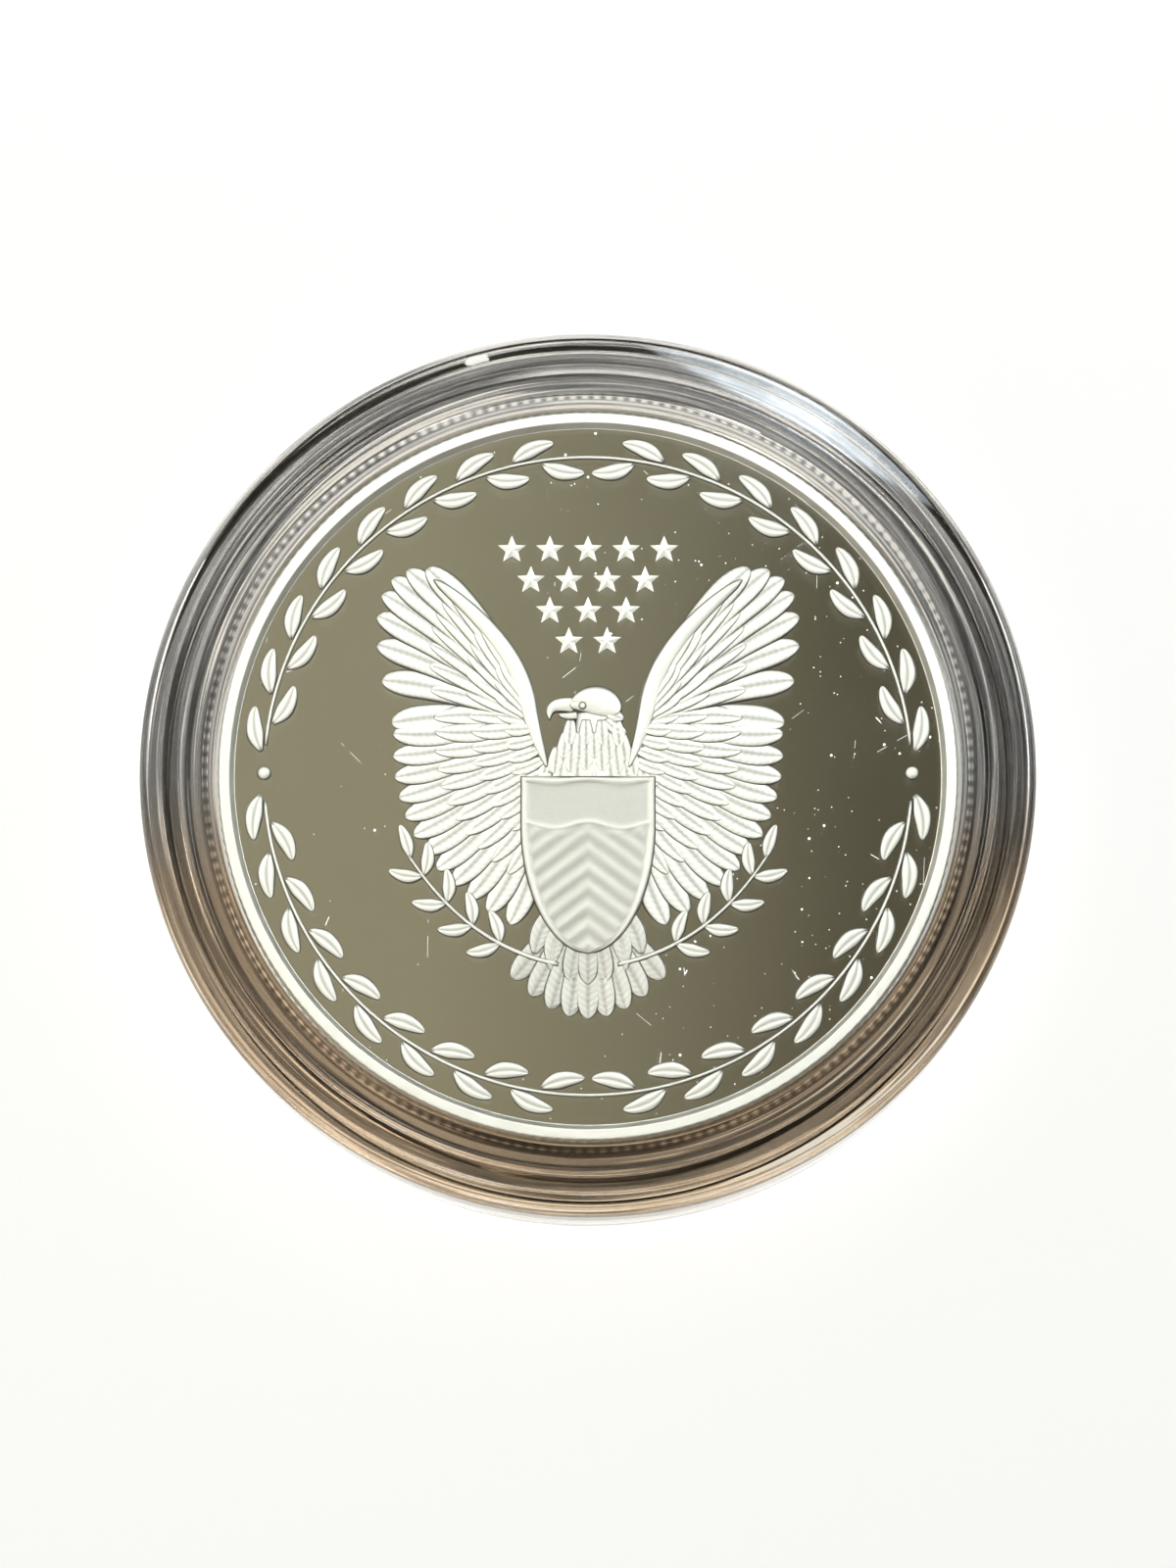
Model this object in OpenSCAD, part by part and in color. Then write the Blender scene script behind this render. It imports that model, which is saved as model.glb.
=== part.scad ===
// Round two-part capsule for one large coin, lying on its base.
// The base holds the coin in a close seat. The lid's skirt goes into a channel
// round that seat, and both halves carry a raised guard ring that keeps their
// windows off whatever they lie on. +Z points from the base to the lid.

/* [Coin] */
// Diameter of the coin
coin_d = 40.6; // [30:0.1:60]
// Thickness of the coin over its rims
coin_t = 2.98; // [2:0.02:5]
// Width of the coin's raised rim
rim_w = 0.65; // [0.5:0.05:1.5]
// Width of the slope from the rim down to the field
rim_slope = 0.25; // [0.1:0.05:0.5]
// Chamfer between the rim and the reeded edge
edge_chamfer = 0.15; // [0.05:0.01:0.3]
// Depth of each face's field below the rim
field_drop = 0.4; // [0.25:0.01:0.5]
// Number of reeds round the coin's edge
reeds = 200; // [60:1:240]
// Depth of one reed
reed_depth = 0.13; // [0.05:0.01:0.25]
// Height of the struck devices above the field
device_h = 0.25; // [0.05:0.01:0.25]

/* [Fits] */
// Radial gap between the coin and its seat
seat_gap = 0.2; // [0.1:0.05:0.5]
// Gap between the coin's upper rim and the lid's window
coin_play = 0.12; // [0.05:0.01:0.4]
// Radial gap on each side of the lid's skirt
skirt_gap = 0.05; // [0.02:0.01:0.1]
// Gap above the seat wall and below the skirt
end_gap = 0.3; // [0.15:0.05:0.6]

/* [Capsule] */
// Thickness of both windows
window_t = 1.2; // [0.8:0.1:2]
// Thickness of the wall round the coin
seat_wall = 1.3; // [0.8:0.1:2]
// Thickness of the lid's skirt
skirt_wall = 1.2; // [0.8:0.1:2]
// Thickness of the base's outer wall
outer_wall = 1.4; // [1.3:0.1:2.5]
// Thickness of the channel's floor, over the guard ring
channel_floor = 1.2; // [0.8:0.1:1.5]
// Height of the seam between base and lid above the ground
seam_z = 4.1; // [3.4:0.1:4.9]

/* [Guard rings] */
// Height of each guard ring above its window
guard_h = 0.6; // [0.3:0.1:1]
// Width of a guard ring's flat top
guard_w = 0.95; // [0.6:0.05:1.5]
// Width of the bevel between window and guard ring
guard_bevel = 0.4; // [0.2:0.05:0.6]
// Drop from the guard ring to the shoulder outside it
shoulder_drop = 0.35; // [0.2:0.05:0.5]
// Radius of the rounded outer edges
edge_r = 0.55; // [0.3:0.05:0.6]
// Size of the small chamfers on the seam, the seat and the skirt
chamfer = 0.15; // [0.05:0.05:0.25]

/* [Moulding gate] */
// Angle of the lid's gate mark, counterclockwise from +X
gate_angle = 105; // [0:5:355]
// Length of the gate mark round the lid
gate_len = 1.4; // [0.8:0.1:2.5]
// Width of the gate mark across the shoulder
gate_w = 0.5; // [0.3:0.05:0.6]
// Height of the gate mark above the shoulder
gate_h = 0.12; // [0.05:0.01:0.2]

/* [Hidden] */
$fn = 128;
sink = 0.1;         // how far each raised device reaches into the coin's body
band_inset = 1.9;   // from the rim to the middle of the laurel band
band_gap = 1.85;    // clear space between the laurel band and the design inside it
leaf_l = 2.2;       // length of one leaf in the band
leaf_w = 0.8;       // width of one leaf in the band
stem_w = 0.2;       // width of the laurel's stems
design_reach = 14.8;  // from the middle of the design to its wing tips, as drawn
star_step = 2.1;    // distance between stars in a row
star_row = 1.72;    // distance between rows of stars

coin_r = coin_d / 2;
rim_r = coin_r - rim_w;                   // inner edge of the rim's top
field_r = rim_r - rim_slope;
band_r = rim_r - band_inset;              // middle of the laurel band
design_scale = (band_r - leaf_l / 2 - band_gap) / design_reach;
seat_r = coin_r + seat_gap;
seat_outer_r = seat_r + seat_wall;
skirt_inner_r = seat_outer_r + skirt_gap;
skirt_outer_r = skirt_inner_r + skirt_wall;
channel_r = skirt_outer_r + skirt_gap;
capsule_r = channel_r + outer_wall;

coin_z = guard_h + window_t;              // underside of the coin
coin_top_z = coin_z + coin_t;
lid_window_z = coin_top_z + coin_play;    // underside of the lid's window
lid_face_z = lid_window_z + window_t;     // upper side of the lid's window
capsule_h = lid_face_z + guard_h;
seat_top_z = lid_window_z - end_gap;
channel_z = guard_h + channel_floor;
skirt_z = channel_z + end_gap;

shoulder_r = capsule_r - edge_r;          // where the rounded edge starts
guard_outer_r = shoulder_r - edge_r - chamfer;
guard_inner_r = guard_outer_r - guard_w;
guard_foot_r = guard_inner_r - guard_bevel;

// Points of a quarter circle from angle a0 to a1 about (r, z)
function arc(r, z, radius, a0, a1, steps = 6) =
    [for (i = [0 : steps]) let (a = a0 + (a1 - a0) * i / steps) [r + radius * cos(a), z + radius * sin(a)]];

// Outside of a half capsule, from its window's middle to its seam, with the
// guard ring's top at z = 0 and the seam at z = -height
function guarded_face(height) = concat(
    [[0, -guard_h],
     [guard_foot_r, -guard_h],
     [guard_inner_r, 0],
     [guard_outer_r, 0],
     [guard_outer_r + chamfer, -shoulder_drop]],
    arc(shoulder_r, -shoulder_drop - edge_r, edge_r, 90, 0),
    [[capsule_r, chamfer - height],
     [capsule_r - chamfer, -height]]
);

module base_shell() {
    color([0.80, 0.83, 0.84, 0.35])
        rotate_extrude()
            polygon(concat(
                [for (p = guarded_face(seam_z)) [p[0], -p[1]]],
                [[channel_r + chamfer, seam_z],
                 [channel_r, seam_z - chamfer],
                 [channel_r, channel_z],
                 [seat_outer_r, channel_z],
                 [seat_outer_r, seat_top_z - chamfer],
                 [seat_outer_r - chamfer, seat_top_z],
                 [seat_r + chamfer, seat_top_z],
                 [seat_r, seat_top_z - chamfer],
                 [seat_r, coin_z],
                 [0, coin_z]]));
}

// Vestige where the lid was cut from its moulding gate
module gate_mark() {
    rotate(gate_angle)
        translate([shoulder_r - gate_w, -gate_len / 2, capsule_h - shoulder_drop - sink])
            cube([gate_w, gate_len, gate_h + sink]);
}

module lid_shell() {
    color([0.86, 0.88, 0.89, 0.35]) {
        rotate_extrude()
            polygon(concat(
                [for (p = guarded_face(capsule_h - seam_z)) [p[0], p[1] + capsule_h]],
                [[skirt_outer_r, seam_z],
                 [skirt_outer_r, skirt_z + chamfer],
                 [skirt_outer_r - chamfer, skirt_z],
                 [skirt_inner_r + chamfer, skirt_z],
                 [skirt_inner_r, skirt_z + chamfer],
                 [skirt_inner_r, lid_window_z],
                 [0, lid_window_z]]));
        gate_mark();
    }
}

// Pointed leaf of two arcs, along +X from the origin
module leaf(length, width) {
    r = (length * length + width * width) / (4 * width);
    intersection() {
        translate([length / 2, r - width / 2]) circle(r);
        translate([length / 2, width / 2 - r]) circle(r);
    }
}

module star(radius) {
    polygon([for (i = [0 : 9]) let (r = i % 2 == 0 ? radius : radius * 0.42) [r * sin(i * 36), r * cos(i * 36)]]);
}

// Shield of two side arcs under a flat top, its top edge's middle at the origin
module shield(width, height) {
    r = (height * height + width * width / 4) / width;
    intersection() {
        translate([r - width / 2, 0]) circle(r);
        translate([width / 2 - r, 0]) circle(r);
        translate([-width, -2 * height]) square([2 * width, 2 * height]);
    }
}

// Ring of laurel inside the rim: a thin stem, and leaves that lie by turns on
// either side of it and point away from the two side gaps, each with a dot
module laurel_band(radius, length, width, count, gap_angle) {
    for (quarter = [0 : 3])
        rotate(90 * floor((quarter + 1) / 2) * 2)
            mirror([0, quarter % 2, 0])
                for (i = [0 : count - 1])
                    rotate(gap_angle + (88 - gap_angle) * (i + 0.5) / count)
                        translate([radius + (i % 2 == 0 ? 0.5 : -0.5), -length / 2])
                            rotate(i % 2 == 0 ? 68 : 112)
                                leaf(length, width);
    for (side = [-1, 1])
        translate([side * radius, 0]) circle(0.3);
    difference() {
        circle(radius + stem_w / 2);
        circle(radius - stem_w / 2);
        for (side = [-1, 1])
            translate([side * radius, 0]) circle(radius * sin(gap_angle));
    }
}

// Fan of feathers, opening from angle a0 to a1, with its longest feather first
module feather_fan(count, a0, a1, start_r, longest, shortest, width) {
    for (i = [0 : count - 1])
        let (share = i / (count - 1))
            rotate(a0 + (a1 - a0) * share)
                translate([start_r, 0])
                    leaf(longest + (shortest - longest) * share, width);
}

// Raised right wing: flight feathers above, hanging feathers below, and the
// shoulder that joins them
module wing() {
    translate([2.6, 3.4]) feather_fan(8, 46, 2, 0.4, 10.4, 8.2, 1.9);
    translate([2.6, 0.8]) feather_fan(9, 6, -76, 1, 7.8, 8.2, 1.9);
    translate([4.2, 3.2]) circle(2.4);
}

// Head in profile with its beak to the left, on the neck
module bird_head() {
    translate([0, 3.4]) circle(1.4);
    translate([-2.3, 3.9]) rotate(-12) leaf(2.4, 0.9);
    translate([0, 1.4]) circle(2.1);
}

// Sprig along +X, with pairs of leaves and one at its tip
module sprig(length, pairs) {
    translate([0, -stem_w / 2]) square([length, stem_w]);
    for (i = [1 : pairs])
        for (side = [-1, 1])
            translate([length * i / (pairs + 1), 0]) rotate(side * 42) leaf(1.9, 0.8);
    translate([length - stem_w, 0]) leaf(2, 0.8);
}

// Bird behind a shield, between two sprigs and under rows of stars
module bird_and_stars() {
    translate([0, 0.4]) shield(7.4, 9.8);
    for (side = [0, 1])
        mirror([side, 0, 0]) {
            wing();
            translate([2.4, -10.2]) rotate(32) sprig(6.6, 3);
        }
    bird_head();
    translate([0, -5]) feather_fan(7, -120, -60, 1.5, 7, 7, 1.9);
    for (row = [0 : 3])
        for (i = [0 : 4 - row])
            translate([(i - (4 - row) / 2) * star_step, 12.5 - row * star_row]) star(0.8);
}

module front_devices() {
    laurel_band(band_r, leaf_l, leaf_w, 16, 5);
    scale(design_scale) bird_and_stars();
}

// Lower face: a rosette in the same band of leaves
module back_devices() {
    laurel_band(band_r, leaf_l, leaf_w, 16, 5);
    scale(design_scale) {
        feather_fan(16, 0, 337.5, 4, 7, 7, 2.2);
        circle(3.2);
    }
}

module coin() {
    color([0.80, 0.79, 0.73])
        translate([0, 0, coin_z]) {
            intersection() {
                rotate_extrude()
                    polygon([[0, field_drop],
                             [field_r, field_drop],
                             [rim_r, 0],
                             [coin_r - edge_chamfer, 0],
                             [coin_r, edge_chamfer],
                             [coin_r, coin_t - edge_chamfer],
                             [coin_r - edge_chamfer, coin_t],
                             [rim_r, coin_t],
                             [field_r, coin_t - field_drop],
                             [0, coin_t - field_drop]]);
                linear_extrude(coin_t)
                    polygon([for (i = [0 : 2 * reeds - 1])
                        let (r = i % 2 == 0 ? coin_r : coin_r - reed_depth, a = 180 * i / reeds)
                        [r * cos(a), r * sin(a)]]);
            }
            translate([0, 0, coin_t - field_drop - sink])
                linear_extrude(device_h + sink) front_devices();
            translate([0, 0, field_drop - device_h])
                linear_extrude(device_h + sink) mirror([1, 0, 0]) back_devices();
        }
}

base_shell();
coin();
lid_shell();
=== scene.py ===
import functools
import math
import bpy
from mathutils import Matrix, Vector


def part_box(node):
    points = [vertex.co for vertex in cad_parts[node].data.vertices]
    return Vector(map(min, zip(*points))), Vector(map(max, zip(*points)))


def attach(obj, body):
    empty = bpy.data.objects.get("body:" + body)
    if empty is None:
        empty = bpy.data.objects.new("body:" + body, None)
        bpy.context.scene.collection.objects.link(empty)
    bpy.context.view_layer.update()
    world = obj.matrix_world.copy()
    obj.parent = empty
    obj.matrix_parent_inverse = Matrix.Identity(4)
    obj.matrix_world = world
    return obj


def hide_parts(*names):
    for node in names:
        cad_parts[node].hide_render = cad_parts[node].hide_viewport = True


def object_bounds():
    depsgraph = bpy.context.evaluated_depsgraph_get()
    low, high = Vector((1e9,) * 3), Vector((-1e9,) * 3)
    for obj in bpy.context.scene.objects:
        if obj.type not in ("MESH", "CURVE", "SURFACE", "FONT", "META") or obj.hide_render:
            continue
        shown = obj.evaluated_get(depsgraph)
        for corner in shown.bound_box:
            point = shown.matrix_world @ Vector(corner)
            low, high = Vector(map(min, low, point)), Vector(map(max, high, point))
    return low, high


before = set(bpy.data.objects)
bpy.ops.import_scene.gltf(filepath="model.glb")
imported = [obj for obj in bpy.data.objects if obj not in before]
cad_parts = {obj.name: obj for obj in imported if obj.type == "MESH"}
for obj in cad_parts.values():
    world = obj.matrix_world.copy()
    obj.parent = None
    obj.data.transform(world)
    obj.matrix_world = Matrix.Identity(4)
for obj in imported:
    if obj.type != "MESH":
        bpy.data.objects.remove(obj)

# Clear two-part coin capsule with a struck silver coin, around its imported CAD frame.
#
# The shells are revolved mouldings of clear plastic. The coin is a blank with
# mirror fields, and every struck device on it is a closed surface of its own.
# The settings hold lengths in metres. The functions below work in millimetres,
# and make_piece turns them back into metres.

import types

import bpy
import numpy as np

bl_info = {
    "name": "Coin Capsule",
    "version": (1, 0, 0),
    "blender": (4, 5, 0),
    "location": "View3D > Sidebar > Capsule",
    "description": "Clear two-part capsule with a struck silver coin",
    "category": "Add Mesh",
}

CAD_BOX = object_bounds()
MM = 0.001
_, CAPSULE_R, CAPSULE_H = np.array(CAD_BOX[1]) / MM
COIN_LOW, COIN_HIGH = (np.array(corner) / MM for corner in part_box("coin"))
COIN_R = COIN_HIGH[1]

# Mouldings, in mm
SKIN = 0.01             # air left between two pieces that touch
ROUND_STEPS = 384       # faces round a moulding
GUARD_CORNER = 0.05     # rounding of a guard ring's outer corners
FLOOR_CORNER = 0.04     # rounding where a wall meets a floor
SEAM_CORNER = 0.03      # rounding where the lid's skirt meets its seam
PLASTIC_IOR = 1.49

# Struck devices, in mm
FOOT = -0.06            # their walls end this far under the field
CROWN = 2.6             # power of the curve across a leaf; 2 is a half ellipse
BARB_PITCH = 0.36       # fine lines along a feather
# Painted shade along a feather's middle vein
VEIN_SHADE = 0.55        # how dark the line along a feather's middle is
# The groove column is painted shade: how much darker a device's colour is drawn there
SHADING_COLUMNS = ("groove", "along", "across")  # extra columns of a device's points

# The lid's ring, painted with shade, highlights and the reflection of the coin's reeds, by distance
# from the axis in mm
RING_FROM = 20.4                    # the clear middle ends here
RING_DEPTH = 0.65                   # the upper face reaches this far down
# Painted shade of the ring past the window, under its upper face, as if its walls swallow light
RING_WALL_SHADE = (0.8, 0.76, 0.71)      # colour of the walls under it
# Painted reflection: the coin's reeds, seen through the seat wall, drawn as a row of bead spots
BEAD_R, BEAD_HALF = 20.92, 0.16     # the coin's reeds show as beads here
# Painted shadow: a dark arc towards -Y, just outside the coin
BEAD_ARC = 0.4                      # half width of the dark arc behind the beads
PAINTED_RING_BANDS = (
    (20.4, 0.8), (20.47, 0.4), (20.53, 0.4), (20.59, 0.8), (20.68, 0.72), (20.75, 0.33),
    (21.2, 0.33), (21.3, 0.5), (21.65, 0.44), (21.75, 0.2), (22.0, 0.2), (22.1, 0.6),
    (22.3, 0.6), (22.4, 0.22), (23.15, 0.24), (23.25, 0.8), (23.38, 0.8), (23.46, 0.46),
    (23.85, 0.52), (23.95, 0.9), (24.08, 0.6), (24.25, 0.66), (24.5, 0.85))


# ---------------------------------------------------------------- settings

def length(label, about, default):
    """A length property in metres, from a default in millimetres"""
    return bpy.props.FloatProperty(
        name=label, description=about, default=default * MM, min=0, precision=5, unit="LENGTH")


def colour(label, about, default):
    """A colour property with red, green and blue from 0 to 1"""
    return bpy.props.FloatVectorProperty(
        name=label, description=about, default=default, subtype="COLOR", min=0, max=1)


class CapsuleSizes(bpy.types.PropertyGroup):
    """Walls, gaps and heights of the two mouldings"""
    seat_gap: length("Seat gap", "Air round the coin", 0.2)
    seat_wall: length("Seat wall", "Wall round the coin", 1.3)
    skirt_gap: length("Skirt gap", "Air on each side of the skirt", 0.05)
    skirt_wall: length("Skirt wall", "Wall of the lid's skirt", 1.2)
    window: length("Window", "Thickness of both windows", 1.2)
    guard_height: length("Guard height", "Guard ring above its window", 0.6)
    guard_width: length("Guard width", "Flat top of a guard ring", 0.95)
    guard_bevel: length("Guard bevel", "Bevel inside a guard ring", 0.4)
    guard_lean: length("Guard lean", "Outward lean of a guard ring's side", 0.15)
    shoulder_drop: length("Shoulder drop", "Guard ring above the shoulder", 0.35)
    edge_radius: length("Edge radius", "Rounding of the outer edges", 0.55)
    seam_height: length("Seam height", "Seam between the halves", 4.1)
    end_gap: length("End gap", "Air past the ends of skirt and seat", 0.3)
    corner: length("Corner radius", "Rounding of the small corners", 0.1)
    gate_angle: bpy.props.FloatProperty(
        name="Gate angle", description="Where the lid was cut from its gate",
        default=math.radians(105), subtype="ANGLE")


class CoinSizes(bpy.types.PropertyGroup):
    """Rim, fields and edge of the coin"""
    rim_width: length("Rim width", "Top of the raised rim", 0.65)
    rim_slope: length("Rim slope", "Slope from the rim to the field", 0.25)
    field_drop: length("Field drop", "Field below the rim", 0.4)
    reed_depth: length("Reed depth", "Depth of one reed", 0.13)
    reeds: bpy.props.IntProperty(
        name="Reeds", description="Reeds round the edge", default=200, min=60)
    band_inset: length("Band inset", "From the rim to the laurel's stem", 1.9)


class Finishes(bpy.types.PropertyGroup):
    """Colours of the plastic and of the coin's silver"""
    plastic: colour("Clear plastic", "Tint of the clear plastic", (0.97, 0.985, 0.98))
    mirror: colour("Mirror silver", "Polished silver of the fields", (0.86, 0.84, 0.78))
    frost: colour("Frosted silver", "Frosted silver of the devices", (0.585, 0.57, 0.515))


class StageSettings(bpy.types.PropertyGroup):
    """Camera and floor"""
    tilt: bpy.props.FloatProperty(
        name="Tilt", description="Camera's lean from straight above towards -Y",
        default=math.radians(10), subtype="ANGLE")
    distance: bpy.props.FloatProperty(
        name="Distance", description="Camera to capsule", default=0.3, unit="LENGTH")
    focal: bpy.props.FloatProperty(
        name="Focal length", description="Focal length on a 36 mm sensor", default=125.1,
        unit="CAMERA")
    floor: colour("Floor", "Colour of the floor", (0.97, 0.97, 0.97))


def in_mm(settings):
    """The settings by name, with each length turned from metres into millimetres"""
    values = {name: getattr(settings, name) for name in settings.__annotations__}
    for name in values:
        if settings.bl_rna.properties[name].unit == "LENGTH":
            values[name] /= MM
    return types.SimpleNamespace(**values)


# ---------------------------------------------------------------- meshes

def with_finish(points, groove=0, along=0, across=0):
    """Points with three more columns: how much painted shade darkens the metal there,
    millimetres along a feather, and -1 to 1 across it"""
    extra = [np.broadcast_to(value, points.shape[:-1])[..., None]
             for value in (groove, along, across)]
    return np.concatenate([points, *extra], axis=-1)


def make_piece(name, points, quads, tris, material, body, slot, replaces=None):
    """Puts arrays of points in millimetres and of faces into a mesh that rides on
    a CAD body. Points may have the shading columns, painted shade among them, which become
    attributes."""
    points, shading_values = points[:, :3] * MM, points[:, 3:]
    mesh = bpy.data.meshes.new(name)
    mesh.vertices.add(len(points))
    mesh.vertices.foreach_set("co", points.ravel())
    corners = np.concatenate([quads.ravel(), tris.ravel()])
    mesh.loops.add(len(corners))
    mesh.loops.foreach_set("vertex_index", corners)
    starts = np.concatenate([np.arange(len(quads)) * 4,
                             len(quads) * 4 + np.arange(len(tris)) * 3])
    mesh.polygons.add(len(starts))
    mesh.polygons.foreach_set("loop_start", starts)
    mesh.polygons.foreach_set("use_smooth", np.ones(len(starts), dtype=bool))
    mesh.update(calc_edges=True)
    for label, values in zip(SHADING_COLUMNS, shading_values.T):
        mesh.attributes.new(label, "FLOAT", "POINT").data.foreach_set("value", values)
    mesh.validate()
    mesh.materials.append(material)
    piece = bpy.data.objects.new(name, mesh)
    bpy.context.collection.objects.link(piece)
    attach(piece, body)
    if replaces:
        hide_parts(replaces)
    return piece


def add_device(name, skin):
    """Adds a struck device of frosted silver, which rides on the coin"""
    return make_piece(name, *skin, frosted_silver(), "coin", "struck_silver")


def rounded(corners, hold=0.03, steps=5):
    """Outline through corners given as (r, z, radius). Each corner becomes an arc
    that touches both sides: its centre lies on the bisector at radius / sin(half
    the angle), and it starts at radius / tan(half the angle) from the corner. A
    point just before and after each arc holds the flats flat when shaded."""
    corners = np.asarray(corners, dtype=float)
    spot, radius = corners[:, :2], corners[:, 2:]
    back = np.roll(spot, 1, axis=0) - spot
    on = np.roll(spot, -1, axis=0) - spot
    back /= np.linalg.norm(back, axis=1, keepdims=True)
    on /= np.linalg.norm(on, axis=1, keepdims=True)
    half = np.arccos(np.clip((back * on).sum(1), -1, 1))[:, None] / 2
    reach = radius / np.tan(half)
    centre = spot + (back + on) / (2 * np.cos(half)) * radius / np.sin(half)
    first, last = spot + back * reach - centre, spot + on * reach - centre
    turn = math.pi - 2 * half
    share = np.linspace(0, 1, steps)[None, :, None]
    arc = (first[:, None] * np.sin((1 - share) * turn[:, None])
           + last[:, None] * np.sin(share * turn[:, None])) / np.sin(turn[:, None])
    run = np.concatenate([
        (spot + back * (reach + hold))[:, None], centre[:, None] + arc,
        (spot + on * (reach + hold))[:, None]], axis=1)
    return run.reshape(-1, 2)


def lathe(outline, segments, swell=None):
    """Surface of revolution: (r cos t, r sin t, z) for each outline point (r, z)
    and angle t. The first and last outline points lie on the axis and become
    poles. swell, added to r, is an array of outline points by angles."""
    turn = np.arange(segments) * 2 * math.pi / segments
    r = outline[1:-1, :1] + (0 if swell is None else swell)
    r = np.broadcast_to(r, (len(outline) - 2, segments))
    z = np.broadcast_to(outline[1:-1, 1:], r.shape)
    rings = np.stack([r * np.cos(turn), r * np.sin(turn), z], axis=-1)
    poles = np.array([[0, 0, outline[0, 1]], [0, 0, outline[-1, 1]]])
    return loft(rings[None], poles[None])


def loft(rings, poles=None):
    """Closed skin over rings of points, an array of shapes by rings by points by
    columns. Each ring is joined to the next, and the end rings close on a pole, which
    is their own middle if none is given. A shape's faces are turned round where its
    signed volume, a sixth of the sum of a . (b x c) over its triangles, is negative,
    so they point outwards. Returns points, quads and triangles."""
    shapes, count, around = rings.shape[:3]
    if poles is None:
        poles = rings[:, [0, -1]].mean(axis=2)
    points = np.concatenate([rings.reshape(shapes, count * around, -1), poles], axis=1)
    grid = np.arange(count * around).reshape(count, around)
    beside = np.roll(grid, -1, axis=1)
    quads = np.stack([grid[:-1], beside[:-1], beside[1:], grid[1:]], axis=-1).reshape(-1, 4)
    bottom, top = count * around, count * around + 1
    tris = np.concatenate([
        np.stack([beside[0], grid[0], np.full(around, bottom)], axis=-1),
        np.stack([grid[-1], beside[-1], np.full(around, top)], axis=-1)])
    fan = np.concatenate([quads[:, [0, 1, 2]], quads[:, [0, 2, 3]], tris])
    a, b, c = (points[:, fan[:, corner], :3] for corner in range(3))
    inward = (np.einsum("sij,sij->s", a, np.cross(b, c)) < 0)[:, None, None]
    quads = np.where(inward, quads[:, ::-1], quads)
    tris = np.where(inward, tris[:, ::-1], tris)
    shift = np.arange(shapes)[:, None, None] * points.shape[1]
    return (points.reshape(-1, points.shape[-1]), (quads + shift).reshape(-1, 4),
            (tris + shift).reshape(-1, 3))


def joined(*skins):
    """Several skins as one, with their faces renumbered"""
    offsets = np.cumsum([0] + [len(skin[0]) for skin in skins[:-1]])
    return (np.concatenate([skin[0] for skin in skins]),
            np.concatenate([skin[1] + offset for skin, offset in zip(skins, offsets)]),
            np.concatenate([skin[2] + offset for skin, offset in zip(skins, offsets)]))


def bezier(knots, share):
    """Quadratic curve: (1-s)^2 a + 2 s (1-s) b + s^2 c for each share s"""
    a, b, c = (np.asarray(knot, dtype=float) for knot in knots)
    s = np.asarray(share, dtype=float)[:, None]
    return (1 - s) ** 2 * a + 2 * s * (1 - s) * b + s ** 2 * c


# ---------------------------------------------------------------- materials

def new_group(name, inputs, outputs):
    """An empty shader node group with float inputs and outputs"""
    group = bpy.data.node_groups.new(name, "ShaderNodeTree")
    for label, default in inputs.items():
        socket = group.interface.new_socket(label, in_out="INPUT", socket_type="NodeSocketFloat")
        socket.default_value = default
    for label in outputs:
        group.interface.new_socket(label, in_out="OUTPUT", socket_type="NodeSocketFloat")
    start = group.nodes.new("NodeGroupInput")
    end = group.nodes.new("NodeGroupOutput")
    return group, start, end


def math_node(tree, operation, first, second=None, third=None, clamp=False):
    """A Math node fed by sockets or numbers; returns its output"""
    node = tree.nodes.new("ShaderNodeMath")
    node.operation = operation
    node.use_clamp = clamp
    for slot, value in zip(node.inputs, (first, second, third)):
        if isinstance(value, (int, float)):
            slot.default_value = value
        elif value is not None:
            tree.links.new(value, slot)
    return node.outputs[0]


def object_coords(tree):
    """The place on the piece, in metres"""
    return tree.nodes.new("ShaderNodeTexCoord").outputs["Object"]


def split_axes(tree, vector):
    """A vector's X, Y and Z"""
    split = tree.nodes.new("ShaderNodeSeparateXYZ")
    tree.links.new(vector, split.inputs[0])
    return tuple(split.outputs[axis] for axis in "XYZ")


def map_range(tree, value, low, high, smooth=False):
    """A value from its range low onto the range high, each a pair of ends"""
    node = tree.nodes.new("ShaderNodeMapRange")
    if smooth:
        node.interpolation_type = "SMOOTHSTEP"
    for label, end in zip(("From Min", "From Max", "To Min", "To Max"), (*low, *high)):
        node.inputs[label].default_value = end
    tree.links.new(value, node.inputs["Value"])
    return node.outputs["Result"]


def colour_ramp(tree, value, stops):
    """The colour at a value on a ramp of stops, each a position and a colour"""
    ramp = tree.nodes.new("ShaderNodeValToRGB")
    tree.links.new(value, ramp.inputs["Fac"])
    elements = ramp.color_ramp.elements
    elements[0].position, elements[1].position = stops[0][0], stops[-1][0]
    for position, _ in stops[1:-1]:
        elements.new(position)
    for element, (position, tint) in zip(elements, stops):
        element.color = (*tint, 1)
    return ramp.outputs["Color"]


def mix_colours(tree, factor, first, second):
    """From the first colour to the second by a factor; each is a colour's values
    or a socket"""
    mix = tree.nodes.new("ShaderNodeMix")
    mix.data_type = "RGBA"
    tree.links.new(factor, mix.inputs["Factor"])
    for label, colour_in in (("A", first), ("B", second)):
        if isinstance(colour_in, tuple):
            mix.inputs[label].default_value = (*colour_in, 1)
        else:
            tree.links.new(colour_in, mix.inputs[label])
    return mix.outputs["Result"]


def multiply_colours(tree, *colours):
    """The product of several colour sockets"""
    product = colours[0]
    for tint in colours[1:]:
        mix = tree.nodes.new("ShaderNodeMix")
        mix.data_type = "RGBA"
        mix.blend_type = "MULTIPLY"
        mix.inputs["Factor"].default_value = 1
        tree.links.new(product, mix.inputs["A"])
        tree.links.new(tint, mix.inputs["B"])
        product = mix.outputs["Result"]
    return product


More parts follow.
